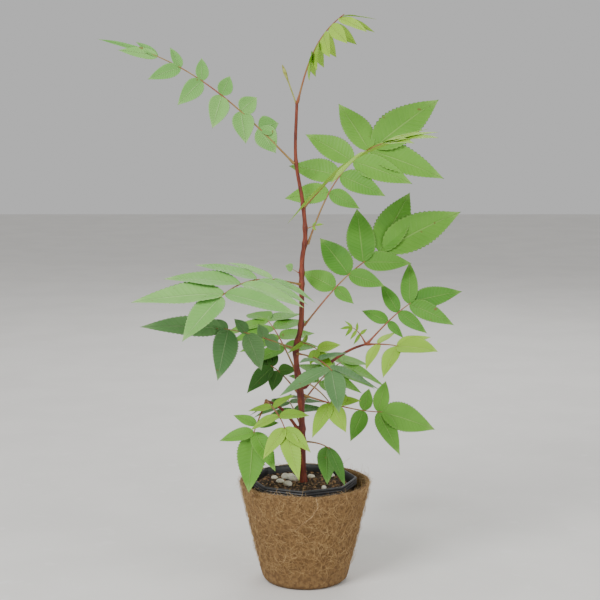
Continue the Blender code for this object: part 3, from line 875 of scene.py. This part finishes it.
class Scatter:
    """A Geometry Nodes tree that strews small shapes over a surface."""

    INPUTS = (
        ("Surface", "NodeSocketGeometry"),
        ("Shapes", "NodeSocketCollection"),
        ("Density", "NodeSocketFloat"),
        ("Smallest", "NodeSocketFloat"),
        ("Largest", "NodeSocketFloat"),
        ("Tilt", "NodeSocketFloat"),
        ("Seed", "NodeSocketInt"),
        ("Finish", "NodeSocketMaterial"),
    )

    def __init__(self) -> None:
        """Builds the tree: points, picked shapes, real meshes, material."""
        self.tree = bpy.data.node_groups.new("strewn", "GeometryNodeTree")
        sides = self.tree.interface
        self.keys = {
            name: sides.new_socket(name, in_out="INPUT", socket_type=kind).identifier
            for name, kind in self.INPUTS
        }
        sides.new_socket("Pieces", in_out="OUTPUT", socket_type="NodeSocketGeometry")
        start = self.node("NodeGroupInput").outputs
        points = self.node(
            "GeometryNodeDistributePointsOnFaces",
            {"Mesh": start["Surface"], "Density": start["Density"], "Seed": start["Seed"]},
        )
        shapes = self.node(
            "GeometryNodeCollectionInfo",
            {"Collection": start["Shapes"], "Separate Children": True, "Reset Children": True},
        )
        flipped = self.node(
            "ShaderNodeMath", {0: start["Tilt"], 1: -1.0}, {"operation": "MULTIPLY"}
        ).outputs[0]
        least = self.node("ShaderNodeCombineXYZ", {0: flipped, 1: flipped})
        most = self.node(
            "ShaderNodeCombineXYZ", {0: start["Tilt"], 1: start["Tilt"], 2: 2 * math.pi}
        )
        turn = self.node(
            "FunctionNodeRandomValue",
            {0: least.outputs[0], 1: most.outputs[0], "Seed": start["Seed"]},
            {"data_type": "FLOAT_VECTOR"},
        )
        spin = self.node("FunctionNodeEulerToRotation", {0: turn.outputs[0]})
        facing = self.node(
            "FunctionNodeRotateRotation",
            {0: points.outputs["Rotation"], 1: spin.outputs[0]},
            {"rotation_space": "LOCAL"},
        )
        size = self.node("FunctionNodeRandomValue", {2: start["Smallest"], 3: start["Largest"]})
        strewn = self.node(
            "GeometryNodeInstanceOnPoints",
            {
                "Points": points.outputs["Points"],
                "Instance": shapes.outputs[0],
                "Pick Instance": True,
                "Rotation": facing.outputs[0],
                "Scale": size.outputs[1],
            },
        )
        real = self.node("GeometryNodeRealizeInstances", {0: strewn.outputs[0]})
        dressed = self.node(
            "GeometryNodeSetMaterial", {"Geometry": real.outputs[0], "Material": start["Finish"]}
        )
        self.node("NodeGroupOutput", {0: dressed.outputs[0]})

    def node(
        self,
        kind: str,
        feeds: dict[int | str, object] | None = None,
        settings: dict[str, str] | None = None,
    ) -> bpy.types.Node:
        """Adds a node.

        Args:
            kind: the node's type.
            feeds: outputs or values for its inputs.
            settings: its properties, set first.

        Returns:
            The node.
        """
        made = self.tree.nodes.new(kind)
        for key, value in (settings or {}).items():
            setattr(made, key, value)
        for key, value in (feeds or {}).items():
            if isinstance(value, bpy.types.NodeSocket):
                self.tree.links.new(value, made.inputs[key])
            else:
                made.inputs[key].default_value = value
        return made

    def strew(
        self,
        ground: bpy.types.Mesh,
        shapes: Sequence[bpy.types.Mesh],
        spread: Spread,
        material: bpy.types.Material,
        name: str,
    ) -> bpy.types.Mesh:
        """Strews shapes over a surface.

        Args:
            ground: the surface, which isn't kept.
            shapes: the small meshes.
            spread: how densely, how large and how tilted.
            material: of the shapes.
            name: of the result.

        Returns:
            A mesh of real faces.
        """
        shelf = bpy.data.collections.new(name + "_shapes")
        models = [bpy.data.objects.new(f"{name}_{i}", mesh) for i, mesh in enumerate(shapes)]
        for model in models:
            shelf.objects.link(model)
        base = linked(name + "_ground", ground)
        step = base.modifiers.new("strewn", "NODES")
        step.node_group = self.tree
        inputs = {key.capitalize(): value for key, value in vars(spread).items()}
        for key, value in {**inputs, "Shapes": shelf, "Finish": material}.items():
            step[self.keys[key]] = value
        graph = bpy.context.evaluated_depsgraph_get()
        mesh = bpy.data.meshes.new_from_object(base.evaluated_get(graph))
        mesh.name = name
        for thing in (base, *models):
            bpy.data.objects.remove(thing)
        bpy.data.collections.remove(shelf)
        return mesh


@dataclass
class CoirPot:
    """A tapered pot of pressed coconut fibre with a fuzzy rim."""

    scatter: Scatter
    height: float = 0.099
    rim: float = 0.0635
    foot: float = 0.0425
    wall: float = 0.004
    floor: float = 0.005
    edge: float = 0.007
    lip: float = 0.001
    crown: tuple[Pair, ...] = ((1, 1), (0.7, 0.2), (0.3, 0), (0, 1))  # in by the wall, down by lip
    corner: tuple[int, ...] = (0, 30, 60, 90)  # degrees of the foot's rounding
    segments: int = 300
    section_step: float = 0.0012
    core: float = 0.01  # radius of the smooth part round the axis
    rough: float = 0.0007  # depth of the lumps
    lumps: tuple[Pair, Pair] = ((260, 1.0), (700, 0.6))  # noise cells in a metre, and strength
    calm: float = 200  # the lumps are full from 1 / calm above the ground
    sway: Triple = (28, 0.0009, 4)  # noise cells, depth, and power by which the rim rises
    fray: Triple = (420, 0.0006, 12)
    hairs: tuple[Pair, ...] = ((0.012, 0.0026), (0.018, -0.005), (0.009, 0.002), (0.024, 0.007))
    hair_radius: float = 0.00018
    hair_ends: Pair = (0.4, 1.6)  # thickness of a hair's ends, and what is added in its middle
    hair_twist: Pair = (0.3, 5)  # how far, by its bend, and how fast a hair winds
    hair_pieces: int = 5
    hair_sides: int = 3
    band_step: float = 0.006
    band_segments: int = 96
    band_foot: Pair = (0.0022, 0.010)  # how far out of and above the foot's edge the fibres start
    band_top: float = 0.001
    fuzz_drop: Pair = (0.0008, 0.0014)  # of the inner and the outer edge, below the rim
    lie: Spread = Spread(130000.0, 0.5, 1.15, 0.09, 4)
    bristle: Spread = Spread(900000.0, 0.25, 0.6, 0.45, 9)
    loose: tuple[Triple, ...] = (  # the long fibre in front: right, back and up
        (0.010, -0.0640, 0.0985),
        (0.012, -0.0655, 0.0900),
        (0.006, -0.0635, 0.0800),
        (-0.004, -0.0610, 0.0715),
        (-0.010, -0.0590, 0.0650),
    )
    loose_radii: tuple[float, ...] = (0.00022, 0.0002, 0.0002, 0.00018, 0.0001)
    loose_sides: int = 6

    def ragged(self, spot: Vector) -> Vector:
        """Pushes a point of the wall in or out by noise, and lets the rim rise and sink.

        Args:
            spot: a point of the smooth wall.

        Returns:
            Where it goes.
        """
        radial = Vector((spot.x, spot.y, 0))
        if radial.length < self.core:
            return spot
        lumps = sum(strength * noise.noise(spot * cells) for cells, strength in self.lumps)
        sway = self.sway[1] * noise.noise(radial * self.sway[0])
        fray = self.fray[1] * noise.noise(radial * self.fray[0])
        high = min(1.0, spot.z / self.height)
        push = lumps * self.rough * min(1.0, spot.z * self.calm) + sway * high
        rise = sway * high ** self.sway[2] + fray * high ** self.fray[2]
        return spot + radial.normalized() * push + UP * rise

    def profile(self) -> list[Pair]:
        """Draws the pot's section.

        Returns:
            Its points from the inside's centre over the rim to the foot's centre.
        """
        slope = (self.rim - self.foot) / self.height
        inner = self.foot + slope * self.floor - self.wall
        corner = []
        for turn in map(math.radians, self.corner):
            radius = self.foot - self.edge * (1 - math.cos(turn))
            corner.append((radius, self.edge * (1 - math.sin(turn))))
        crown = [(self.rim - x * self.wall, self.height - z * self.lip) for x, z in self.crown]
        return [(0, self.floor), (inner, self.floor), *crown, *corner, (0, 0)]

    def hair(self, length: float, bend: float) -> bpy.types.Mesh:
        """Makes a bent fibre that lies along X.

        Args:
            length: from end to end.
            bend: how far its ends stand out.

        Returns:
            Its mesh.
        """
        more, speed = self.hair_twist
        ends, middle = self.hair_ends
        points, radii = [], []
        for s in steps(self.hair_pieces):
            out = bend * (s - 0.5) ** 2 * 4
            points.append(Vector(((s - 0.5) * length, out, bend * more * math.sin(speed * s))))
            radii.append(self.hair_radius * (ends + middle * s * (1 - s)))
        form = Form()
        form.tube(points, radii, self.hair_sides)
        return form.mesh("hair")

    def strewn(
        self, name: str, band: Sequence[Pair], spread: Spread, finish: Mottled
    ) -> bpy.types.Object:
        """Strews fibres over a band of the wall.

        Args:
            name: of the piece.
            band: upper and lower end of the band.
            spread: how they lie.
            finish: of the fibres.

        Returns:
            The piece.
        """
        rings = finer(band, self.band_step)
        ground = revolved("band", rings, self.band_segments, self.ragged, closed=False)
        hairs = [self.hair(length, bend) for length, bend in self.hairs]
        material = finish.material()
        return piece(self.scatter.strew(ground, hairs, spread, material, name), material, "coir")

    def build(self) -> list[bpy.types.Object]:
        """Builds the wall, its fibres, the fuzz on its rim and the long loose fibre in front.

        Returns:
            The pieces.
        """
        rings = finer(self.profile(), self.section_step)
        wall = revolved("coir_wall", rings, self.segments, self.ragged)
        out, up = self.band_foot
        side = [(self.rim, self.height - self.band_top), (self.foot + out, self.edge + up)]
        inside, outside = (self.height - drop for drop in self.fuzz_drop)
        top = [(self.rim - self.wall, inside), (self.rim, outside)]
        loose = Form()
        loose.tube([Vector(knot) for knot in self.loose], self.loose_radii, self.loose_sides)
        return [
            piece(wall, COIR.material(), "coir", "coir_pot"),
            self.strewn("wall_fibres", side, self.lie, FIBRE),
            self.strewn("rim_fuzz", top, self.bristle, PALE_FIBRE),
            piece(loose.mesh("loose_fibre"), PALE_FIBRE.material(), "coir"),
        ]


@dataclass
class NurseryPot:
    """A thin eight-sided plastic pot with ribs round its rim."""

    place: Triple = (-0.002, -0.005, 0.0053)
    height: float = 0.098
    rim: float = 0.0520
    foot: float = 0.0335
    wall: float = 0.0012
    ribs: int = 3
    rib_height: float = 0.0026
    rib_depth: float = 0.0012
    rib_steps: int = 7
    rib_power: float = 0.6  # below 1 makes the ribs fuller
    lip: Pair = (0.25, 0.6)  # its drop inside and its width, by the wall
    sides: int = 8
    segments: int = 192
    section_step: float = 0.004
    corner: Pair = (0.75, 0.044)  # where the corners' rounding begins, and how deep it goes

    def eight_sided(self, spot: Vector) -> Vector:
        """Draws a round section in towards an octagon with soft corners.

        Args:
            spot: a point of the round section.

        Returns:
            Where it goes.
        """
        half = math.pi / self.sides
        angle = math.atan2(spot.y, spot.x) % (2 * half) - half
        flat = math.cos(half) / math.cos(angle)
        flat -= self.corner[1] * max(0.0, abs(angle) / half - self.corner[0])
        return Vector((spot.x * flat, spot.y * flat, spot.z)) + Vector(self.place)

    def build(self) -> list[bpy.types.Object]:
        """Builds the pot's wall with its ribs.

        Returns:
            The piece.
        """
        ribs = []
        for rib in range(self.ribs):
            for share in (step / self.rib_steps for step in range(self.rib_steps)):
                swell = self.rib_depth * math.sin(math.pi * share) ** self.rib_power
                ribs.append((self.rim + swell, self.height - self.rib_height * (rib + share)))
        profile = [
            (0, self.wall),
            (self.foot - self.wall, self.wall),
            (self.rim - self.wall, self.height - self.lip[0] * self.wall),
            (self.rim - self.lip[1] * self.wall, self.height),
            *ribs,
            (self.rim, self.height - self.ribs * self.rib_height),
            (self.foot, 0),
            (0, 0),
        ]
        rings = finer(profile, self.section_step)
        wall = revolved("nursery_pot_wall", rings, self.segments, self.eight_sided)
        return [piece(wall, BLACK_PLASTIC.material(), "black_plastic", "nursery_pot")]


@dataclass
class PottingMix:
    """Granular potting mix with stones and chips of bark on it."""

    scatter: Scatter
    pot: NurseryPot
    top: float = 0.0962
    bottom: float = 0.0015
    inset: float = 0.0009  # between the fill and the pot's wall
    foot_inset: float = 0.0016
    segments: int = 160
    section_step: float = 0.0016
    uneven: tuple[Pair, Pair] = ((140, 0.0012), (420, 0.0007))  # noise cells, and height
    ground_edges: Pair = (0.0006, 0.002)  # from the axis, and in from the fill's edge
    ground_step: float = 0.003
    ground_segments: int = 48
    granules: Spread = Spread(520000.0, 0.0006, 0.0017, 0.6, 7)
    granule_shape: Triple = (1, 0.8, 0.7)
    chips: Spread = Spread(52000.0, 0.0014, 0.0030, 0.6, 7)
    chip_shape: Triple = (1.2, 0.7, 0.35)
    kinds: int = 5  # of lump
    jagged: Pair = (0.72, 1.15)  # how far a lump's corners stand from its middle
    stone_shape: Triple = (1.1, 0.85, 0.7)
    stone_rise: float = 0.3
    stone_bulge: Triple = (0.16, 220, 900)  # depth, noise cells, and those between the stones
    stone_finesse: int = 4
    stone_seed: int = 5

    def settled(self, spot: Vector) -> Vector:
        """Shifts a point of the mix into the pot, and one of its surface up or down.

        Args:
            spot: a point of the smooth fill.

        Returns:
            Where it goes.
        """
        place = self.pot.eight_sided(spot)
        if spot.z > self.pot.height / 2:
            place.z += sum(depth * noise.noise(spot * cells) for cells, depth in self.uneven)
        return place

    def grain(self, stretch: Triple, seed: int) -> bpy.types.Mesh:
        """Makes a small lump of twenty faces.

        Args:
            stretch: along its axes.
            seed: of its shape.

        Returns:
            Its mesh.
        """
        form = Form()
        bmesh.ops.create_icosphere(form.shape, subdivisions=1, radius=1.0)
        chance = random.Random(seed)
        for vertex in form.shape.verts:
            vertex.co *= chance.uniform(*self.jagged)
        bmesh.ops.scale(form.shape, vec=stretch, verts=form.shape.verts)
        return form.mesh("grain", closed=False)

    def strewn(
        self, name: str, finish: Mottled, spread: Spread, stretch: Triple
    ) -> bpy.types.Object:
        """Strews lumps over the mix.

        Args:
            name: of the piece.
            finish: of the lumps.
            spread: how they lie.
            stretch: along their axes.

        Returns:
            The piece.
        """
        level = self.top - self.pot.place[2]
        start, margin = self.ground_edges
        edge = self.pot.rim - self.pot.wall - self.inset - margin
        rings = finer([(start, level), (edge, level)], self.ground_step)
        ground = revolved("ground", rings, self.ground_segments, self.settled, closed=False)
        lumps = [self.grain(stretch, seed) for seed in range(self.kinds)]
        material = finish.material()
        mesh = self.scatter.strew(ground, lumps, spread, material, name)
        return piece(mesh, material, "potting_mix")

    def stones(self) -> bpy.types.Object:
        """Makes the larger stones, half sunk in the mix.

        Returns:
            The piece.
        """
        form = Form()
        chance = random.Random(self.stone_seed)
        depth, cells, apart = self.stone_bulge
        for right, back, radius in STONES:
            made = bmesh.ops.create_icosphere(
                form.shape, subdivisions=self.stone_finesse, radius=radius
            )
            turn = Matrix.Rotation(chance.uniform(0, math.pi), 3, "Z")
            shift = Vector((right, back, self.top + radius * self.stone_rise))
            for vertex in made["verts"]:
                bulge = 1 + depth * noise.noise(vertex.co * cells + shift * apart)
                vertex.co = turn @ (Vector(self.stone_shape) * vertex.co.copy() * bulge) + shift
        return piece(form.mesh("stones"), STONE.material(), "potting_mix")

    def build(self) -> list[bpy.types.Object]:
        """Builds the fill, its granules, the chips and the stones.

        Returns:
            The pieces.
        """
        inner = self.pot.rim - self.pot.wall - self.inset
        level, bottom = self.top - self.pot.place[2], self.bottom
        foot = self.pot.foot - self.foot_inset
        rings = finer([(0, level), (inner, level), (foot, bottom), (0, bottom)], self.section_step)
        fill = revolved("mix_fill", rings, self.segments, self.settled)
        return [
            piece(fill, MIX.material(), "potting_mix", "potting_mix"),
            self.strewn("granules", GRANULE, self.granules, self.granule_shape),
            self.strewn("bark_chips", CHIP, self.chips, self.chip_shape),
            self.stones(),
        ]


@dataclass
class Stem:
    """The main stem and its boughs with swollen leaf joints."""

    skeleton: Skeleton
    step: float = 0.0012
    sides: int = 24
    swelling: float = 0.30
    joint: float = 0.0035
    bough_pieces: int = 40
    bough_sides: int = 16
    bough_swelling: Pair = (0.35, 0.06)  # by its radius, and over which share of it
    relief: float = 0.00010
    relief_cells: Triple = (500, 500, 160)

    def swell(self, height: float) -> float:
        """Finds how much thicker the stem is near a leaf's or a bough's foot.

        Args:
            height: above the ground.

        Returns:
            The radius's factor.
        """
        feet = [leaf.foot for leaf in LEAVES if leaf.carrier == "stem"]
        feet += [limb.foot for limb in BOUGHS]
        return 1 + self.swelling * max(bell(height - foot, self.joint) for foot in feet)

    def build(self) -> list[bpy.types.Object]:
        """Builds the stem and the boughs as one piece with the bark's relief.

        Returns:
            The piece.
        """
        form = Form()
        low, high = STEM_BENDS[0][0], STEM_BENDS[-1][0]
        count = round((high - low) / self.step)
        heights = [blend(low, high, share) for share in steps(count)]
        course = [self.skeleton.stem_at(height) for height in heights]
        radii = [radius * self.swell(height) for (_, radius), height in zip(course, heights)]
        form.tube([centre for centre, _ in course], radii, self.sides)
        for limb in BOUGHS:
            foot, reach = self.skeleton.bough_foot(limb), Vector(limb.reach)
            shares = steps(self.bough_pieces)
            points = [self.skeleton.arch(foot, reach, limb.bow, share) for share in shares]
            points[0] = self.skeleton.stem_at(limb.foot)[0]
            more, over = self.bough_swelling
            radii = [blend(*limb.radii, s) * (1 + more * bell(s, over)) for s in shares]
            form.tube(points, radii, self.bough_sides)
        form.shape.normal_update()
        for vertex in form.shape.verts:
            spot = Vector(self.relief_cells) * vertex.co
            vertex.co += vertex.normal * (self.relief * noise.noise(spot))
        names = ["main_stem", *(limb.name for limb in BOUGHS)]
        return [piece(form.mesh("bark"), BARK.material(), "bark", *names)]


@dataclass
class Bud:
    """The naked bud above the fork, with its folded ridges."""

    skeleton: Skeleton
    offset: Triple = (-0.0006, 0, -0.0004)
    reach: Triple = (-0.013, 0.0, 0.036)
    pieces: int = 60
    sides: int = 30
    stalk: float = 0.0007
    swelling: Triple = (0.0010, 0.80, 0.14)  # how thick, where and over which share
    taper: Pair = (0.004, 0.9)  # how steeply the tip thins, and from which share
    ridges: int = 5
    ridge: Triple = (0.14, 0.5, 6)  # how deep, from which share, and how far they wind

    def radius(self, share: float) -> float:
        """Finds how thick the bud is.

        Args:
            share: how far along it.

        Returns:
            Its radius there.
        """
        more, middle, over = self.swelling
        steep, start = self.taper
        return self.stalk + more * bell(share - middle, over) - steep * max(0, share - start)

    def build(self) -> list[bpy.types.Object]:
        """Builds the bud and its thin stalk.

        Returns:
            The piece.
        """
        foot = self.skeleton.carrier_tip("stem_tip") + Vector(self.offset)
        shares = steps(self.pieces)
        points = [foot + Vector(self.reach) * share for share in shares]
        form = Form()
        form.tube(points, [self.radius(share) for share in shares], self.sides)
        depth, start, wind = self.ridge
        form.shape.verts.ensure_lookup_table()
        for i, centre in enumerate(points):
            rise = depth * max(0.0, shares[i] - start) / (1 - start)
            for side, turn in enumerate(turns(self.sides)):
                vertex = form.shape.verts[i * self.sides + side]
                bulge = 1 + rise * math.sin(self.ridges * turn + shares[i] * wind)
                vertex.co = centre + (vertex.co - centre) * bulge
        return [piece(form.mesh("bud_piece"), BUD.material(), "bud", "terminal_bud")]


@dataclass
class Stalks:
    """The leaves' stalks, swollen at their feet."""

    skeleton: Skeleton
    foot_radius: float = 0.00105
    tip_radius: float = 0.00050
    swelling: Pair = (0.0005, 0.004)  # how thick, and how far along the stalk
    full_length: float = 0.04  # a shorter stalk is thinner
    thinning: float = 0.7  # below 1 thins most near the foot
    sunk: Pair = (0.4, 0.001)  # share of the way out of the stem, and depth in a limb's tip
    pieces: int = 30
    sides: int = 10

    def radii(self, length: float) -> list[float]:
        """Finds a stalk's radii.

        Args:
            length: of the stalk.

        Returns:
            One for its sunk foot and one for each of its points.
        """
        short = min(1.0, length / self.full_length)
        more, over = self.swelling
        return [
            blend(self.foot_radius, self.tip_radius, s**self.thinning) * short**0.5
            + more * short * bell(s * length, over)
            for s in [0, *steps(self.pieces)]
        ]

    def build(self) -> list[bpy.types.Object]:
        """Builds all stalks as one piece.

        Returns:
            The piece.
        """
        form = Form()
        for leaf in LEAVES:
            points = self.skeleton.stalk_points(leaf, self.pieces)
            reach = Vector(leaf.reach)
            if leaf.carrier == "stem":
                centre = self.skeleton.stem_at(leaf.foot)[0]
                root = centre + (points[0] - centre) * self.sunk[0]
            else:
                tip = self.skeleton.carrier_tip(leaf.carrier)
                root = tip - reach.normalized() * self.sunk[1]
            form.tube([root, *points], self.radii(reach.length), self.sides)
        return [piece(form.mesh("stalks"), STALK.material(), "bark")]


@dataclass
class Foliage:
    """The leaflets of all leaves of one tone: thin closed blades with saw-toothed edges."""

    skeleton: Skeleton
    tone: Tone
    stations: int = 40
    strips: tuple[float, ...] = (0.0, 0.45, 0.94, 1.0)
    thickness: float = 0.00030
    fold: Pair = (0.22, 0.3)  # how far the sides rise, and by which power they start at the rib
    curl: float = 0.08
    teeth: Pair = (0.045, -0.036)  # how far the edge stands out at each second station
    wave: float = 0.012
    waves: float = 11.0
    phases: float = 6.0
    widest: float = 0.35
    outline_powers: Pair = (0.62, 1.15)
    edge_power: int = 4  # by which the blade thins to its edge
    leaf_tints: Pair = (0.2, 0.8)
    tint_spread: float = 0.3

    def outline(self, share: float) -> float:
        """Finds how wide a leaflet is.

        Args:
            share: how far along it.

        Returns:
            Its width there, 1 where it is widest.
        """
        foot, tip = self.outline_powers
        most = self.widest**foot * (1 - self.widest) ** tip
        return share**foot * (1 - share) ** tip / most

    def ring(self, blade: Blade, station: int, phase: float) -> list[tuple[Vector, Pair]]:
        """Draws a section of a blade.

        Args:
            blade: the leaflet.
            station: how far along it.
            phase: of its waves.

        Returns:
            Each corner of the section, with its place on the blade's map.
        """
        share = station / self.stations
        tooth = self.teeth[0] if station % 2 else self.teeth[1]
        down = UP * -self.curl
        rib = blade.root + (blade.along * share + down * share**2) * blade.length
        normal = (blade.along + 2 * down * share).normalized().cross(blade.across).normalized()
        sides = [*reversed(self.strips[1:]), *(-side for side in self.strips)]
        ring = []
        for face, row in ((1, sides), (-1, sides[-2:0:-1])):
            for side in row:
                size = abs(side)
                edge = 1 + tooth if size == 1 else 1
                reach = 0.5 * self.outline(share) * blade.width * side * edge
                sway = math.sin(share * self.waves + phase + side) * side**2
                lift = abs(reach) * self.fold[0] * size ** self.fold[1]
                lift += sway * self.wave * blade.length * (1 - share)
                lift += 0.5 * face * self.thickness * (1 - size**self.edge_power)
                point = rib + blade.across * reach + normal * lift
                ring.append((point, (share, 0.5 + 0.5 * side)))
        return ring

    def corners(self, blade: Blade, phase: float) -> list[tuple[Vector, Pair]]:
        """Draws a leaflet's corners.

        Args:
            blade: the leaflet.
            phase: of its waves.

        Returns:
            Its root, its tip and then its sections from root to tip, with their map places.
        """
        tip = blade.root + (blade.along - UP * self.curl) * blade.length
        rings = [self.ring(blade, i, phase) for i in range(1, self.stations)]
        ends = [(blade.root, (0.0, 0.5)), (tip, (1.0, 0.5))]
        return [*ends, *(corner for ring in rings for corner in ring)]

    def faces(self, start: int) -> list[tuple[int, ...]]:
        """Joins a leaflet's corners.

        Args:
            start: number of its first corner.

        Returns:
            Its faces.
        """
        around = 4 * (len(self.strips) - 1)
        rows = self.stations - 1
        first, last = start + 2, start + 2 + (rows - 1) * around
        made = []
        for i in range(around):
            j = (i + 1) % around
            made += [(start, first + j, first + i), (start + 1, last + i, last + j)]
            for near in range(first, last, around):
                far = near + around
                made.append((near + i, near + j, far + j, far + i))
        return made

    def build(self) -> list[bpy.types.Object]:
        """Builds all leaflets of the tone as one piece.

        Returns:
            The piece.
        """
        corners: list[tuple[Vector, Pair]] = []
        tints: list[float] = []
        faces: list[tuple[int, ...]] = []
        leaves = [leaf for leaf in LEAVES if leaf.tone is self.tone]
        for leaf in leaves:
            chance = random.Random(leaf.name + " tint")
            leaf_tint = chance.uniform(*self.leaf_tints)
            for blade in self.skeleton.blades(leaf):
                tint = leaf_tint + chance.uniform(-self.tint_spread, self.tint_spread)
                tint = min(1.0, max(0.0, tint))
                faces += self.faces(len(corners))
                corners += self.corners(blade, chance.uniform(0, self.phases))
                tints += [tint] * (len(corners) - len(tints))
        mesh = bpy.data.meshes.new(self.tone.value + "_leaflets")
        mesh.from_pydata([point for point, _ in corners], [], faces)
        chart = mesh.uv_layers.new(name="blade")
        for loop in mesh.loops:
            chart.data[loop.index].uv = corners[loop.vertex_index][1]
        mesh.attributes.new("tint", "FLOAT", "POINT").data.foreach_set("value", tints)
        names = [leaf.name for leaf in leaves]
        return [piece(mesh, LEAF_FINISHES[self.tone].material(), self.tone.value, *names)]


@dataclass
class Studio:
    """A pale floor, soft lights and the camera."""

    floor_size: float = 4.0
    look_at: Triple = (0, 0, 0.27)
    lights: tuple[tuple[str, Triple, float, float], ...] = (
        ("key", (-0.9, -1.3, 1.5), 0.8, 34),
        ("fill", (1.2, -0.9, 0.9), 1.2, 9),
        ("back", (0.3, 1.3, 1.4), 1.0, 12),
    )
    daylight: float = 0.55
    camera_place: Triple = (-0.005, -1.425, 0.487)
    camera_pitch: float = 81.6
    lens: float = 90.0
    sensor: float = 36.0

    def light(self, name: str, place: Triple, size: float, power: float) -> None:
        """Adds a square area light that faces the plant.

        Args:
            name: of the light.
            place: where it hangs.
            size: of its side.
            power: in watts.
        """
        lamp = bpy.data.lights.new(name, "AREA")
        lamp.size, lamp.energy = size, power
        thing = linked(name, lamp)
        thing.location = place
        towards = Vector(self.look_at) - Vector(place)
        thing.rotation_euler = towards.to_track_quat("-Z", "Y").to_euler()

    def camera(self) -> None:
        """Adds the camera at the photo's viewing angle."""
        eye = bpy.data.cameras.new("camera")
        eye.lens, eye.sensor_fit, eye.sensor_height = self.lens, "VERTICAL", self.sensor
        camera = linked("camera", eye)
        camera.location = self.camera_place
        camera.rotation_euler = (math.radians(self.camera_pitch), 0, 0)
        bpy.context.scene.camera = camera

    def build(self) -> None:
        """Builds floor, lights, world and camera."""
        form = Form()
        bmesh.ops.create_grid(form.shape, x_segments=1, y_segments=1, size=self.floor_size)
        floor = placed("floor", form.mesh("floor", closed=False), FLOOR.material())
        for row in self.lights:
            self.light(*row)
        world = bpy.data.worlds.new("soft")
        bpy.context.scene.world = world
        world.use_nodes = True
        sky = world.node_tree.nodes["Background"].inputs
        sky["Color"].default_value = (1, 1, 1, 1)
        sky["Strength"].default_value = self.daylight
        self.camera()


def main() -> None:
    """Builds the pot, the plant and the studio, and logs each piece's faces."""
    logging.basicConfig(level=logging.INFO, format="%(message)s")
    for thing in list(bpy.data.objects):
        bpy.data.objects.remove(thing)
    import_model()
    skeleton, scatter, nursery = Skeleton(), Scatter(), NurseryPot()
    assemblies = [
        CoirPot(scatter),
        nursery,
        PottingMix(scatter, nursery),
        Stem(skeleton),
        Bud(skeleton),
        Stalks(skeleton),
        *(Foliage(skeleton, tone) for tone in Tone),
    ]
    for assembly in assemblies:
        for made in assembly.build():
            LOG.info("%s: %d faces", made.name, len(made.data.polygons))
    Studio().build()
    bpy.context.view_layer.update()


if __name__ == "__main__":
    main()
